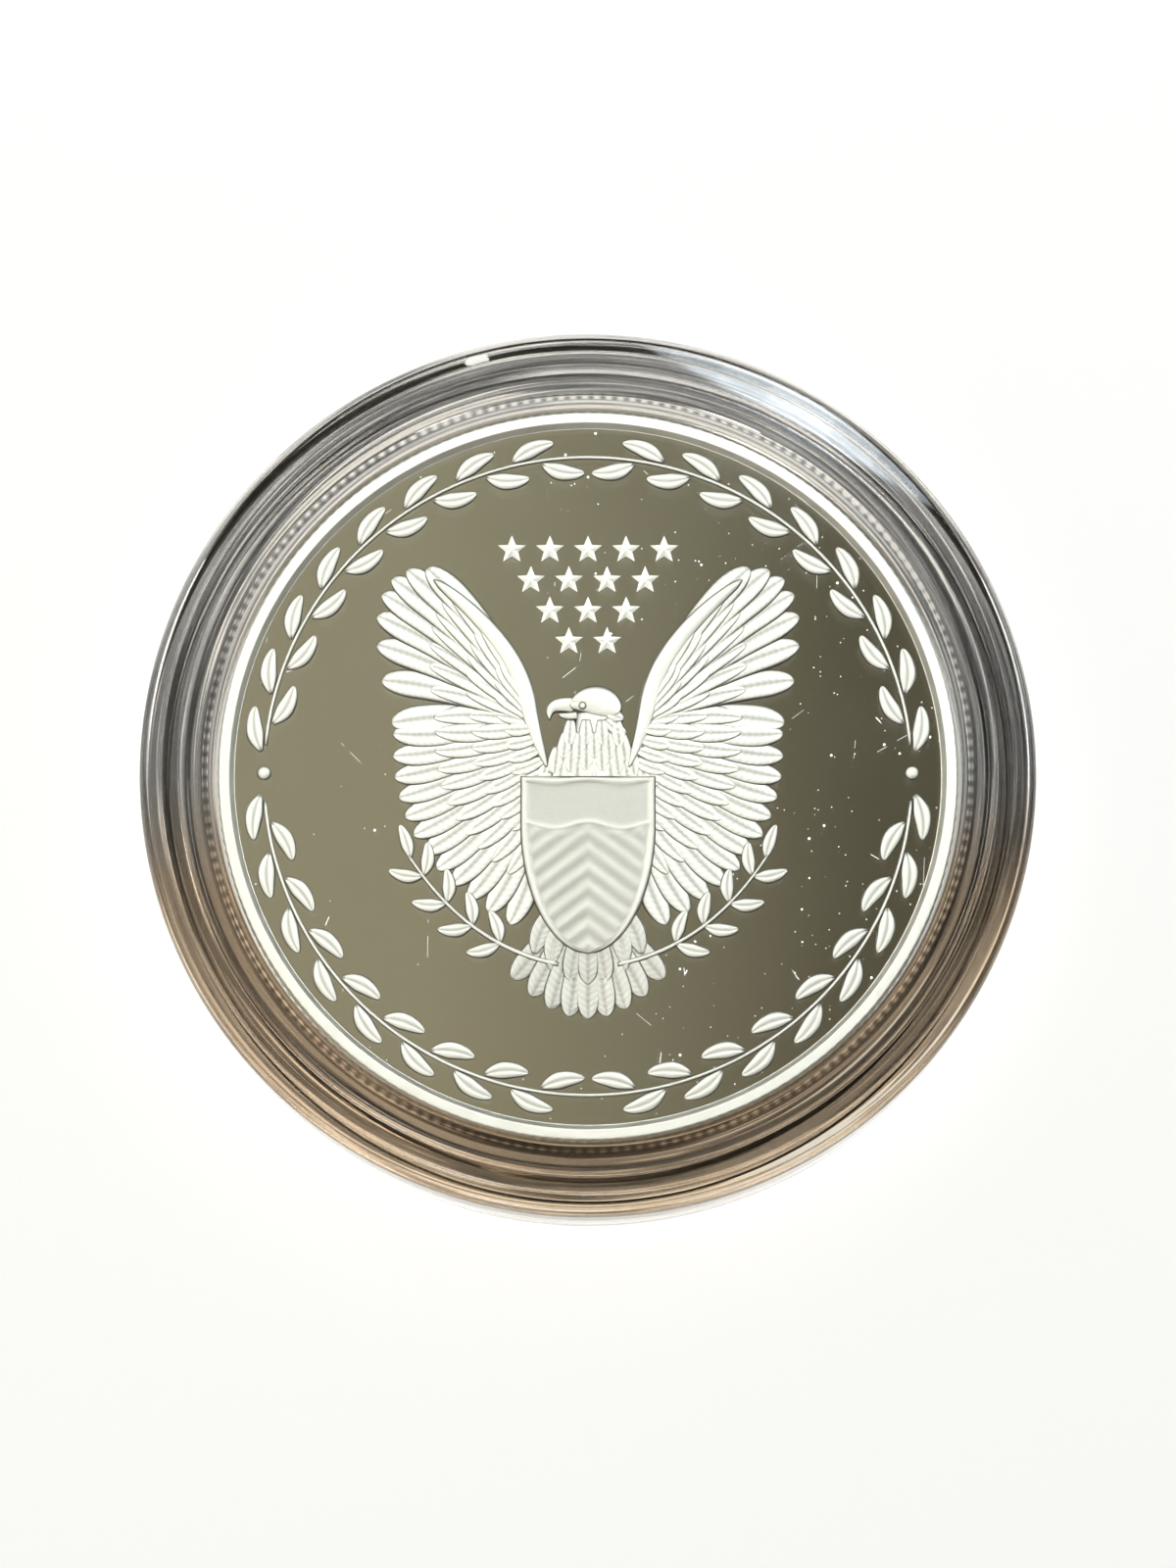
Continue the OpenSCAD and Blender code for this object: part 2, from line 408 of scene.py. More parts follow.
def grain_group():
    """Fine sand-blasted grain: noise at three scales. The two finer ones, as 0.6
    and 0.4 of the whole, are put out as a height, and the slow one as a blotch."""
    group, start, end = new_group("silver_grain", {"Scale": 9000}, ["Height", "Blotch"])
    coords = object_coords(group)
    heights = []
    for factor in (1.0, 0.22, 0.03):
        noise = group.nodes.new("ShaderNodeTexNoise")
        noise.inputs["Detail"].default_value = 2
        group.links.new(coords, noise.inputs["Vector"])
        group.links.new(math_node(group, "MULTIPLY", start.outputs["Scale"], factor),
                        noise.inputs["Scale"])
        heights.append(noise.outputs["Fac"])
    both = math_node(group, "ADD", math_node(group, "MULTIPLY", heights[0], 0.6),
                     math_node(group, "MULTIPLY", heights[1], 0.4))
    group.links.new(both, end.inputs["Height"])
    group.links.new(heights[2], end.inputs["Blotch"])
    return group


def specks_group():
    """Scattered dust: cells of a Voronoi pattern, each with a speck where its
    random value passes the threshold, as a mask from 0 to 1"""
    group, start, end = new_group(
        "dust_specks", {"Scale": 900, "Share": 0.12, "Size": 0.16}, ["Mask"])
    cells = group.nodes.new("ShaderNodeTexVoronoi")
    group.links.new(object_coords(group), cells.inputs["Vector"])
    group.links.new(start.outputs["Scale"], cells.inputs["Scale"])
    near = math_node(group, "LESS_THAN", cells.outputs["Distance"], start.outputs["Size"])
    split = group.nodes.new("ShaderNodeSeparateColor")
    group.links.new(cells.outputs["Color"], split.inputs["Color"])
    chosen = math_node(group, "LESS_THAN", split.outputs["Red"], start.outputs["Share"])
    group.links.new(math_node(group, "MULTIPLY", near, chosen), end.inputs["Mask"])
    return group


def hairlines_group():
    """Fine handling scratches: the edges of long Voronoi cells that lie along
    three directions, broken up by noise, as a mask from 0 to 1"""
    group, start, end = new_group("hairlines", {"Scale": 220, "Width": 0.012}, ["Mask"])
    coords = object_coords(group)
    total = None
    for angle in (0.6, 1.5, 2.4):
        mapping = group.nodes.new("ShaderNodeMapping")
        mapping.vector_type = "TEXTURE"
        mapping.inputs["Rotation"].default_value = (0, 0, angle)
        mapping.inputs["Scale"].default_value = (9, 1, 1)
        group.links.new(coords, mapping.inputs["Vector"])
        cells = group.nodes.new("ShaderNodeTexVoronoi")
        cells.feature = "DISTANCE_TO_EDGE"
        group.links.new(mapping.outputs["Vector"], cells.inputs["Vector"])
        group.links.new(start.outputs["Scale"], cells.inputs["Scale"])
        line = math_node(group, "LESS_THAN", cells.outputs["Distance"], start.outputs["Width"])
        broken = group.nodes.new("ShaderNodeTexNoise")
        broken.inputs["Scale"].default_value = 260 + 60 * angle
        group.links.new(coords, broken.inputs["Vector"])
        broken = math_node(group, "GREATER_THAN", broken.outputs["Fac"], 0.67)
        line = math_node(group, "MULTIPLY", line, broken)
        total = line if total is None else math_node(group, "MAXIMUM", total, line)
    group.links.new(total, end.inputs["Mask"])
    return group


def ring_shade_group():
    """Colour of the plastic by distance from the axis: clear over the coin, and
    painted light and shade on the upper face of the ring round it, where the walls
    below swallow light. Its square is used, so that the banding stands out. The
    factors are a painted reflection of the studio, cool towards +Y and warm towards
    -Y; painted shade by the fourth power of |x|, darkest to the left and right; the
    painted banding of shade and highlight; painted glints and fine bright lines, from
    noise that is stretched round the ring; a sine of the angle, the painted
    reflection of the coin's reeds as a row of bead spots; and a painted shadow, a
    dark arc towards -Y behind them. Past the window, the rest of the ring gets a
    flat painted shade."""
    group, _, end = new_group("ring_painted_light", {}, [])
    group.interface.new_socket("Tint", in_out="OUTPUT", socket_type="NodeSocketColor")

    def calc(operation, *values, clamp=False):
        """A Math node in this group"""
        return math_node(group, operation, *values, clamp=clamp)

    def shade(factor, from_grey, to_tint):
        """From a grey to a tint or another grey by a factor"""
        to_tint = to_tint if isinstance(to_tint, tuple) else (to_tint,) * 3
        return mix_colours(group, factor, (from_grey,) * 3, to_tint)

    x, y, z = split_axes(group, object_coords(group))
    r = calc("SQRT", calc("ADD", calc("MULTIPLY", x, x), calc("MULTIPLY", y, y)))
    radius, reach = CAPSULE_R * MM, CAPSULE_R - RING_FROM
    place = calc("DIVIDE", calc("SUBTRACT", r, RING_FROM * MM), reach * MM, clamp=True)
    painted_bands = colour_ramp(group, place, [
        ((band - RING_FROM) / reach, (grey,) * 3) for band, grey in PAINTED_RING_BANDS])

    # Painted reflection of the studio: cool towards +Y, warm towards -Y
    upward = calc("MULTIPLY_ADD", y, 4 / radius, 1.1, clamp=True)
    studio_reflection = mix_colours(group, upward, (0.95, 0.8, 0.63), (0.91, 0.96, 1.02))
    # Painted shade, darkest to the left and right
    aside = calc("MULTIPLY", calc("ABSOLUTE", x), 1 / radius)
    sides = shade(calc("POWER", aside, 4), 1, 0.21)

    # Painted glints and fine bright lines, streaked round the ring
    streaks = []
    for across_ring, round_ring in ((3200, 70), (5600, 45)):
        noise = group.nodes.new("ShaderNodeTexNoise")
        noise.inputs["Scale"].default_value = 1
        noise.inputs["Detail"].default_value = 3
        winding = group.nodes.new("ShaderNodeCombineXYZ")
        for axis, source, scale in (
                ("X", r, across_ring), ("Y", x, round_ring), ("Z", y, round_ring)):
            group.links.new(calc("MULTIPLY", source, scale), winding.inputs[axis])
        group.links.new(winding.outputs["Vector"], noise.inputs["Vector"])
        streaks.append(noise.outputs["Fac"])
    glint = calc("MINIMUM", calc("MULTIPLY", calc("POWER", streaks[0], 3), 8), 1)
    glints = shade(glint, 0.1, 1.6)
    line = calc("MULTIPLY", calc("SUBTRACT", streaks[1], 0.56), 9, clamp=True)
    lines = shade(line, 0.86, 3.4)

    # Painted reflection of the coin's reeds, and a painted shadow arc towards -Y
    per_turn = bpy.context.scene.coin_sizes.reeds
    reeds = calc("SINE", calc("MULTIPLY", calc("ARCTAN2", y, x), per_turn))
    from_bead = calc("ABSOLUTE", calc("SUBTRACT", r, BEAD_R * MM))
    bead = calc("MULTIPLY", calc("LESS_THAN", from_bead, BEAD_HALF * MM),
                calc("MULTIPLY_ADD", reeds, 0.5, 0.5))
    reed_image = shade(bead, 1, 2.4)
    downward = calc("MULTIPLY", y, -1.1 / radius, clamp=True)
    arc_shadow = shade(calc("MULTIPLY", downward, calc("LESS_THAN", from_bead, BEAD_ARC * MM)),
                     1, (0.45, 0.42, 0.4))

    # All the painted light and shade together, squared
    ring_light_and_shade = multiply_colours(group, studio_reflection, sides, painted_bands, glints, lines, reed_image, arc_shadow)
    ring_light_and_shade = multiply_colours(group, ring_light_and_shade, ring_light_and_shade)
    past_window = calc("GREATER_THAN", place, 0.001)
    on_top = calc("GREATER_THAN", z, (CAPSULE_H - RING_DEPTH) * MM)
    clear = tuple(bpy.context.scene.capsule_finishes.plastic)
    walls = mix_colours(group, past_window, clear, RING_WALL_SHADE)
    tint = mix_colours(group, calc("MULTIPLY", past_window, on_top), walls, ring_light_and_shade)
    tint.node.clamp_result = True
    group.links.new(tint, end.inputs["Tint"])
    return group


def shared_group(name):
    """The node group of that name, built when it is first asked for"""
    makers = {"silver_grain": grain_group, "dust_specks": specks_group,
              "hairlines": hairlines_group, "ring_painted_light": ring_shade_group}
    return bpy.data.node_groups.get(name) or makers[name]()


def place_group(tree, name, **values):
    """A shared group placed in a material, with its own input values"""
    node = tree.nodes.new("ShaderNodeGroup")
    node.node_tree = shared_group(name)
    for label, value in values.items():
        node.inputs[label].default_value = value
    return node


def blank_material(name):
    """A material with only its Principled shader and its output"""
    material = bpy.data.materials.new(name)
    material.use_nodes = True
    nodes = material.node_tree.nodes
    return material, material.node_tree, nodes["Principled BSDF"], nodes["Material Output"]


def attribute_value(tree, label):
    """A shading column of the piece's points, such as its painted shade"""
    node = tree.nodes.new("ShaderNodeAttribute")
    node.attribute_name = label
    return node.outputs["Fac"]


def add_bump(tree, shader, height, strength, distance):
    """Bends the shader's normals by a height; the distance is in metres"""
    bump = tree.nodes.new("ShaderNodeBump")
    bump.inputs["Strength"].default_value = strength
    bump.inputs["Distance"].default_value = distance
    tree.links.new(height, bump.inputs["Height"])
    tree.links.new(bump.outputs["Normal"], shader.inputs["Normal"])


def made_once(maker):
    """A material's maker that gives back the material of its name if there is one"""
    @functools.wraps(maker)
    def material():
        return bpy.data.materials.get(maker.__name__) or maker()
    return material


@made_once
def mirror_silver():
    """Polished proof field: nearly a mirror, with haze, hairlines and dust, of
    which there is more towards +X"""
    material, tree, shader, _ = blank_material("mirror_silver")
    shader.inputs["Metallic"].default_value = 1
    tint = tuple(bpy.context.scene.capsule_finishes.mirror)
    x, _, _ = split_axes(tree, object_coords(tree))
    share = map_range(tree, x, (-0.004, 0.012), (0.006, 0.05))
    dust = place_group(tree, "dust_specks", Scale=2400, Size=0.17)
    powder = place_group(tree, "dust_specks", Scale=5400, Size=0.2)
    for specks in (dust, powder):
        tree.links.new(share, specks.inputs["Share"])
    lines = place_group(tree, "hairlines", Scale=260, Width=0.0016)
    grain = place_group(tree, "silver_grain", Scale=4000)
    marks = math_node(tree, "MAXIMUM", dust.outputs["Mask"], lines.outputs["Mask"])
    marks = math_node(tree, "MAXIMUM", marks,
                      math_node(tree, "MULTIPLY", powder.outputs["Mask"], 0.6))
    tree.links.new(mix_colours(tree, marks, tint, (0.95, 0.93, 0.88)), shader.inputs["Base Color"])
    haze = math_node(tree, "MULTIPLY", grain.outputs["Blotch"], 0.06)
    rough = math_node(tree, "ADD", math_node(tree, "MULTIPLY", marks, 0.5), haze, clamp=True)
    tree.links.new(rough, shader.inputs["Roughness"])
    add_bump(tree, shader, grain.outputs["Height"], 0.03, 0.00001)
    return material


@made_once
def frosted_silver():
    """Frosted device: rough bright silver with a fine sand-blasted grain. Its colour
    carries painted shade: dark where the surface slopes steeply and in its grooves,
    and a little along its barbs. Barbs are a sine of the millimetres along a feather
    over their pitch, plus 1.1 times the way out from its middle."""
    material, tree, shader, _ = blank_material("frosted_silver")
    shader.inputs["Metallic"].default_value = 1
    tint = tuple(bpy.context.scene.capsule_finishes.frost)
    grain = place_group(tree, "silver_grain", Scale=9000)
    # Painted shade: the colour darkens where the surface slopes steeply, as mirror-like walls would
    # reflect the dark room
    _, _, upright = split_axes(tree, tree.nodes.new("ShaderNodeNewGeometry").outputs["Normal"])
    level = map_range(tree, math_node(tree, "ABSOLUTE", upright), (0.45, 0.95), (0, 1), smooth=True)
    groove, along, across = (attribute_value(tree, label) for label in SHADING_COLUMNS)
    turns = math_node(tree, "ADD", math_node(tree, "DIVIDE", along, BARB_PITCH),
                      math_node(tree, "MULTIPLY", math_node(tree, "ABSOLUTE", across), 1.1))
    barbs = math_node(tree, "SINE", math_node(tree, "MULTIPLY", turns, 2 * math.pi))
    # Painted shade in the grooves, and faintly along the barbs
    unshaded = math_node(tree, "SUBTRACT", 1, math_node(tree, "MULTIPLY", groove, 0.95))
    bright = math_node(tree, "MULTIPLY", level, unshaded)
    bright = math_node(tree, "MULTIPLY", bright,
                       math_node(tree, "MULTIPLY_ADD", barbs, 0.05, 0.95))
    wall_shade = tuple(0.12 * part for part in tint)
    tree.links.new(mix_colours(tree, bright, wall_shade, tint), shader.inputs["Base Color"])
    rough = math_node(tree, "MULTIPLY_ADD", grain.outputs["Height"], 0.25, 0.42)
    tree.links.new(rough, shader.inputs["Roughness"])
    height = math_node(tree, "MULTIPLY_ADD", barbs, 0.24, grain.outputs["Height"])
    add_bump(tree, shader, height, 0.5, 0.00003)
    return material


@made_once
def satin_silver():
    """Rim and reeded edge: bright silver with a fine satin"""
    material, tree, shader, _ = blank_material("satin_silver")
    shader.inputs["Metallic"].default_value = 1
    shader.inputs["Base Color"].default_value = (*bpy.context.scene.capsule_finishes.frost, 1)
    grain = place_group(tree, "silver_grain", Scale=7000)
    rough = math_node(tree, "MULTIPLY_ADD", grain.outputs["Height"], 0.2, 0.36)
    tree.links.new(rough, shader.inputs["Roughness"])
    add_bump(tree, shader, grain.outputs["Height"], 0.3, 0.00002)
    return material


@made_once
def polished_plastic():
    """Polished clear plastic that bends light. Lamps shine straight through it,
    so what lies inside and under it is lit. Its colour is the ring's painted
    light and shade."""
    material, tree, shader, output = blank_material("polished_plastic")
    # Painted light and shade of the ring, as the plastic's colour
    tint = place_group(tree, "ring_painted_light").outputs["Tint"]
    tree.links.new(tint, shader.inputs["Base Color"])
    shader.inputs["Transmission Weight"].default_value = 1
    shader.inputs["IOR"].default_value = PLASTIC_IOR
    lines = place_group(tree, "hairlines", Scale=200, Width=0.003)
    rough = math_node(tree, "MULTIPLY_ADD", lines.outputs["Mask"], 0.12, 0.01)
    tree.links.new(rough, shader.inputs["Roughness"])
    path = tree.nodes.new("ShaderNodeLightPath")
    through = tree.nodes.new("ShaderNodeBsdfTransparent")
    through.inputs["Color"].default_value = (0.96, 0.96, 0.96, 1)
    mix = tree.nodes.new("ShaderNodeMixShader")
    tree.links.new(path.outputs["Is Shadow Ray"], mix.inputs["Fac"])
    tree.links.new(shader.outputs["BSDF"], mix.inputs[1])
    tree.links.new(through.outputs["BSDF"], mix.inputs[2])
    tree.links.new(mix.outputs["Shader"], output.inputs["Surface"])
    return material


@made_once
def frosted_plastic():
    """The rough white scar where the lid was cut from its gate"""
    material, tree, shader, _ = blank_material("frosted_plastic")
    shader.inputs["Base Color"].default_value = (0.9, 0.89, 0.84, 1)
    shader.inputs["IOR"].default_value = PLASTIC_IOR
    grain = place_group(tree, "silver_grain", Scale=6000)
    rough = math_node(tree, "MULTIPLY_ADD", grain.outputs["Blotch"], 0.3, 0.35)
    tree.links.new(rough, shader.inputs["Roughness"])
    add_bump(tree, shader, grain.outputs["Height"], 0.6, 0.00005)
    return material


# ---------------------------------------------------------------- mouldings

class Radii:
    """Radii and heights of both mouldings in mm, worked out from the frame's box
    inwards: outer wall, channel, skirt, seat and guard ring"""

    def __init__(self, sizes):
        self.coin_z = sizes.guard_height + sizes.window
        self.seat = COIN_R + sizes.seat_gap
        self.seat_outer = self.seat + sizes.seat_wall
        self.skirt_inner = self.seat_outer + sizes.skirt_gap
        self.skirt_outer = self.skirt_inner + sizes.skirt_wall
        self.channel = self.skirt_outer + sizes.skirt_gap
        self.lid_window = CAPSULE_H - sizes.guard_height - sizes.window
        self.seat_top = self.lid_window - sizes.end_gap
        self.skirt_z = self.coin_z + sizes.end_gap
        self.guard_side = CAPSULE_R - 2 * sizes.edge_radius
        self.guard_outer = self.guard_side - sizes.guard_lean
        self.guard_inner = self.guard_outer - sizes.guard_width
        self.guard_foot = self.guard_inner - sizes.guard_bevel


def face_corners(sizes, radii, seam):
    """Corners (r, depth, radius) of a half's outside: its window, the bevel, flat
    and side of its guard ring, the shoulder, the rounded edge and the seam. Depth
    runs from the guard ring's top into the capsule."""
    small = sizes.corner
    return [
        (radii.guard_foot, sizes.guard_height, small),
        (radii.guard_inner, 0, small),
        (radii.guard_outer, 0, GUARD_CORNER),
        (radii.guard_side, sizes.shoulder_drop, GUARD_CORNER),
        (CAPSULE_R, sizes.shoulder_drop, sizes.edge_radius),
        (CAPSULE_R, seam, small)]


def moulding(outside, inside, outer_z, inner_z, steps=6):
    """Revolved half: its outline runs from the middle of its window's outer side
    round the outside and inside corners, each rounded off, back to the middle of
    the window's inner side, and is turned once round the axis."""
    run = rounded([(0, outer_z, 1)] + outside + inside + [(0, inner_z, 1)], steps=steps)
    per_corner = steps + 2
    run = run[per_corner:-per_corner]
    return lathe(np.concatenate([[[0, outer_z]], run, [[0, inner_z]]]), ROUND_STEPS)


class CAPSULE_OT_base(bpy.types.Operator):
    """Add the base: window, guard ring, channel and the coin's seat"""
    bl_idname = "capsule.base"
    bl_label = "Base moulding"

    def execute(self, context):
        sizes = in_mm(context.scene.capsule_sizes)
        radii = Radii(sizes)
        small = sizes.corner
        inside = [
            (radii.channel, sizes.seam_height, small),
            (radii.channel, radii.coin_z, FLOOR_CORNER),
            (radii.seat_outer, radii.coin_z, FLOOR_CORNER),
            (radii.seat_outer, radii.seat_top, small),
            (radii.seat, radii.seat_top, small),
            (radii.seat, radii.coin_z, FLOOR_CORNER)]
        skin = moulding(face_corners(sizes, radii, sizes.seam_height), inside,
                        sizes.guard_height, radii.coin_z)
        make_piece("base_moulding", *skin, polished_plastic(), "base", "clear_plastic",
                   "base_shell")
        return {"FINISHED"}


class CAPSULE_OT_lid(bpy.types.Operator):
    """Add the lid: window, guard ring and the skirt that goes into the channel"""
    bl_idname = "capsule.lid"
    bl_label = "Lid moulding"

    def execute(self, context):
        sizes = in_mm(context.scene.capsule_sizes)
        radii = Radii(sizes)
        small = sizes.corner
        seam = sizes.seam_height + SKIN
        outside = [(r, CAPSULE_H - depth, bend)
                   for r, depth, bend in face_corners(sizes, radii, CAPSULE_H - seam)]
        inside = [
            (radii.skirt_outer, seam, SEAM_CORNER),
            (radii.skirt_outer, radii.skirt_z, small),
            (radii.skirt_inner, radii.skirt_z, small),
            (radii.skirt_inner, radii.lid_window, small)]
        skin = moulding(outside, inside, CAPSULE_H - sizes.guard_height, radii.lid_window)
        make_piece("lid_moulding", *skin, polished_plastic(), "lid", "clear_plastic", "lid_shell")
        return {"FINISHED"}


class CAPSULE_OT_gate(bpy.types.Operator):
    """Add the rough scar on the lid's shoulder, where its gate was cut off"""
    bl_idname = "capsule.gate"
    bl_label = "Gate scar"

    def execute(self, context):
        """Outline: a rounded square, (cos^4 t + sin^4 t)^(-1/4), made ragged by two
        waves, drawn out round the lid and shrunk a little at each level"""
        sizes = in_mm(context.scene.capsule_sizes)
        half_long, half_wide = 0.68, 0.25
        middle = CAPSULE_R - 1.45 * sizes.edge_radius
        shoulder = CAPSULE_H - sizes.shoulder_drop - SKIN
        rise = np.array([0, 0.05, 0.09, 0.11])[:, None]
        shrink = np.array([1, 0.97, 0.9, 0.7])[:, None]
        turn = np.linspace(0, 2 * math.pi, 48, endpoint=False)
        ragged = 1 + 0.05 * np.sin(5 * turn) + 0.04 * np.cos(11 * turn + 1)
        square = (np.abs(np.cos(turn)) ** 4 + np.abs(np.sin(turn)) ** 4) ** -0.25
        along = half_long * square * ragged * np.sin(turn) * shrink
        across = half_wide * square * ragged * np.cos(turn) * shrink
        angle = sizes.gate_angle + along / middle
        r = middle + across
        rings = np.stack([r * np.cos(angle), r * np.sin(angle), shoulder + rise + 0 * r], axis=-1)
        make_piece("gate_scar", *loft(rings[None]), frosted_plastic(), "lid", "clear_plastic")
        return {"FINISHED"}


# ---------------------------------------------------------------- coin

def face_height(side):
    """Height of the field on the coin's upper (1) or lower (-1) face, in mm"""
    drop = in_mm(bpy.context.scene.coin_sizes).field_drop
    return COIN_HIGH[2] - drop if side > 0 else COIN_LOW[2] + drop


def band_radius():
    """Radius of the laurel ring's stem, in mm"""
    sizes = in_mm(bpy.context.scene.coin_sizes)
    return COIN_R - sizes.rim_width - sizes.band_inset


class CAPSULE_OT_coin_blank(bpy.types.Operator):
    """Add the coin's disc: mirror fields, raised rims and reeded edge"""
    bl_idname = "capsule.coin_blank"
    bl_label = "Coin blank"

    def execute(self, context):
        """Revolved outline, whose wall is cut by reeds: 1 - cos t over each reed,
        which fade in over the last 0.08 mm of the rounded edge"""
        sizes = in_mm(context.scene.coin_sizes)
        rim = COIN_R - sizes.rim_width
        field = rim - sizes.rim_slope
        low, high = COIN_LOW[2] + SKIN, COIN_HIGH[2]
        top = [(field, high - sizes.field_drop, 0.06), (rim, high, 0.05), (COIN_R, high, 0.15)]
        bottom = [(r, low + high - z, bend) for r, z, bend in top[::-1]]
        steps, per_reed, fade = 4, 6, 0.08
        corners = [(0, top[0][1], 1)] + top + bottom + [(0, bottom[-1][1], 1)]
        run = rounded(corners, hold=0.04, steps=steps)[steps + 2:-steps - 2]
        outline = np.concatenate([[[0, top[0][1]]], run, [[0, bottom[-1][1]]]])
        segments = per_reed * sizes.reeds
        groove = 0.5 - 0.5 * np.cos(np.arange(segments) * 2 * math.pi / per_reed)
        wall = np.clip((outline[1:-1, :1] - COIN_R + fade) / fade, 0, 1)
        skin = lathe(outline, segments, -sizes.reed_depth * wall * groove)
        blank = make_piece("coin_blank", *skin, mirror_silver(), "coin", "struck_silver", "coin")
        blank.data.materials.append(satin_silver())
        middles = np.empty(3 * len(blank.data.polygons))
        blank.data.polygons.foreach_get("center", middles)
        away = np.hypot(*middles.reshape(-1, 3)[:, :2].T) / MM
        blank.data.polygons.foreach_set("material_index", (away > field - 0.04).astype(int))
        return {"FINISHED"}


def leaf_shapes(roots, tips, width, bend, base, height, side=1, blunt=0.5, vein=0.0, tilt=0.0,
                root=0.5, barbs=1, dull=0.0, rows=15, across=11):
    """Closed domed leaves or feathers, one for each root and tip.
    Middle line: from root to tip, bowed sideways by bend * length * 4 s (1 - s).
    Half width: width / 2 times a rise from the root's share of it and a rounded
    end, which starts at the share 1 - blunt. Height over the field: base + height
    * (1 - |v|^c)^(1/c) across, c being CROWN, less a vein along the middle, plus
    tilt * v. dull is the least painted shade, the groove value, of the whole leaf."""
    roots, tips = np.atleast_2d(roots).astype(float), np.atleast_2d(tips).astype(float)
    count = len(roots)
    s = np.sin(np.linspace(0.02, 0.985, rows) * math.pi / 2)[None, :]
    v = np.sin(np.linspace(-1, 1, across) * math.pi / 2)
    ahead = (tips - roots)[:, None]
    aside = np.stack([-ahead[..., 1], ahead[..., 0]], axis=-1)
    bow = np.broadcast_to(np.asarray(bend, dtype=float).reshape(-1, 1), (count, 1)) * 4
    middle = roots[:, None] + ahead * s[..., None] + aside * (bow * s * (1 - s))[..., None]
    heading = ahead + aside * (bow * (1 - 2 * s))[..., None]
    heading /= np.linalg.norm(heading, axis=-1, keepdims=True)
    normal = np.stack([-heading[..., 1], heading[..., 0]], axis=-1)
    end = np.clip((s - 1 + blunt) / blunt, 0, 1)
    rise = root + (1 - root) * np.sin(np.clip(s / (1 - blunt * 0.6), 0, 1) * math.pi / 2)
    widths = np.broadcast_to(np.asarray(width, dtype=float).reshape(-1, 1), (count, 1))
    half = widths / 2 * rise * np.sqrt(1 - end ** 2)
    edge = np.concatenate([v, [1.06, -1.06]])
    flat = middle[:, :, None] + normal[:, :, None] * (half[..., None] * edge)[..., None]
    dome = np.clip(1 - np.abs(v) ** CROWN, 0, 1) ** (1 / CROWN)
    crown = height * dome * (0.35 + 0.65 * np.sqrt(half / (widths / 2)))[..., None]
    crown = crown - vein * np.exp(-(v / 0.12) ** 2) * (half > 0)[..., None]
    crown = crown + np.asarray(tilt, dtype=float).reshape(-1, 1, 1) * v
    bases = np.broadcast_to(np.asarray(base, dtype=float).reshape(-1, 1, 1), (count, 1, 1))
    level = np.concatenate([bases + crown, np.full((count, rows, 2), FOOT)], axis=-1)
    z = face_height(side) + side * level
    # Painted shade: the leaf's colour darkens at its edges and tip, where it meets its neighbours,
    # and along its vein
    groove = np.maximum(edge_line(edge), np.clip((s - 0.985) / 0.0147, 0, 1)[..., None])
    vein_darkening = VEIN_SHADE * (vein > 0) * np.exp(-(edge / 0.1) ** 2)
    groove = np.maximum(groove, np.clip(vein_darkening, dull, 1))
    far = barbs * np.linalg.norm(ahead, axis=-1)[..., None] * s[..., None]
    points = np.concatenate([flat, z[..., None]], axis=-1)
    return loft(with_finish(points, groove, far, barbs * edge))


def edge_line(v):
    """1 at the edges of a strip, where v is -1 or 1, falling to 0 a little inside"""
    return np.clip((np.abs(v) - 0.78) / 0.17, 0, 1)


def mirrored(skin):
    """The same skin on the other side of the YZ plane"""
    points, quads, tris = skin
    return points * np.array([-1, 1, 1, 1, 1, 1]), quads[:, ::-1], tris[:, ::-1]


def feather_row(count, roots, tips, width, bend, base, height, step=0.04, top=0, **shape):
    """Feathers whose roots lie along one curve and their tips along another. Those
    farther along the row from the top one lie lower, by step in all, so each tucks
    under its neighbour."""
    share = np.linspace(0, 1, count)
    bases = base + step * (1 - np.abs(share - top) / max(top, 1 - top))
    return leaf_shapes(bezier(roots, share), bezier(tips, share), width, bend, bases, height,
                       **shape)


def arm_skin():
    """The wing's leading edge: a dome along two curves that meet at the shoulder.
    Its half width is 0.06 + 0.46 sin(pi t^0.7)^0.6 for the share t of the way, thin
    at the wing's tip and widest over the feathers' roots."""
    s = np.linspace(0, 1, 25)
    path = np.concatenate([bezier([(8.5, 10.8), (4.05, 7.4), (3.35, 4.0)], s),
                           bezier([(3.35, 4.0), (3.0, 2.2), (2.25, 0.3)], s)[1:]])
    t = np.linspace(0, 1, len(path))
    return dome_along(path, 0.06 + 0.46 * np.sin(math.pi * t ** 0.7) ** 0.6, 0.15, 0.17)


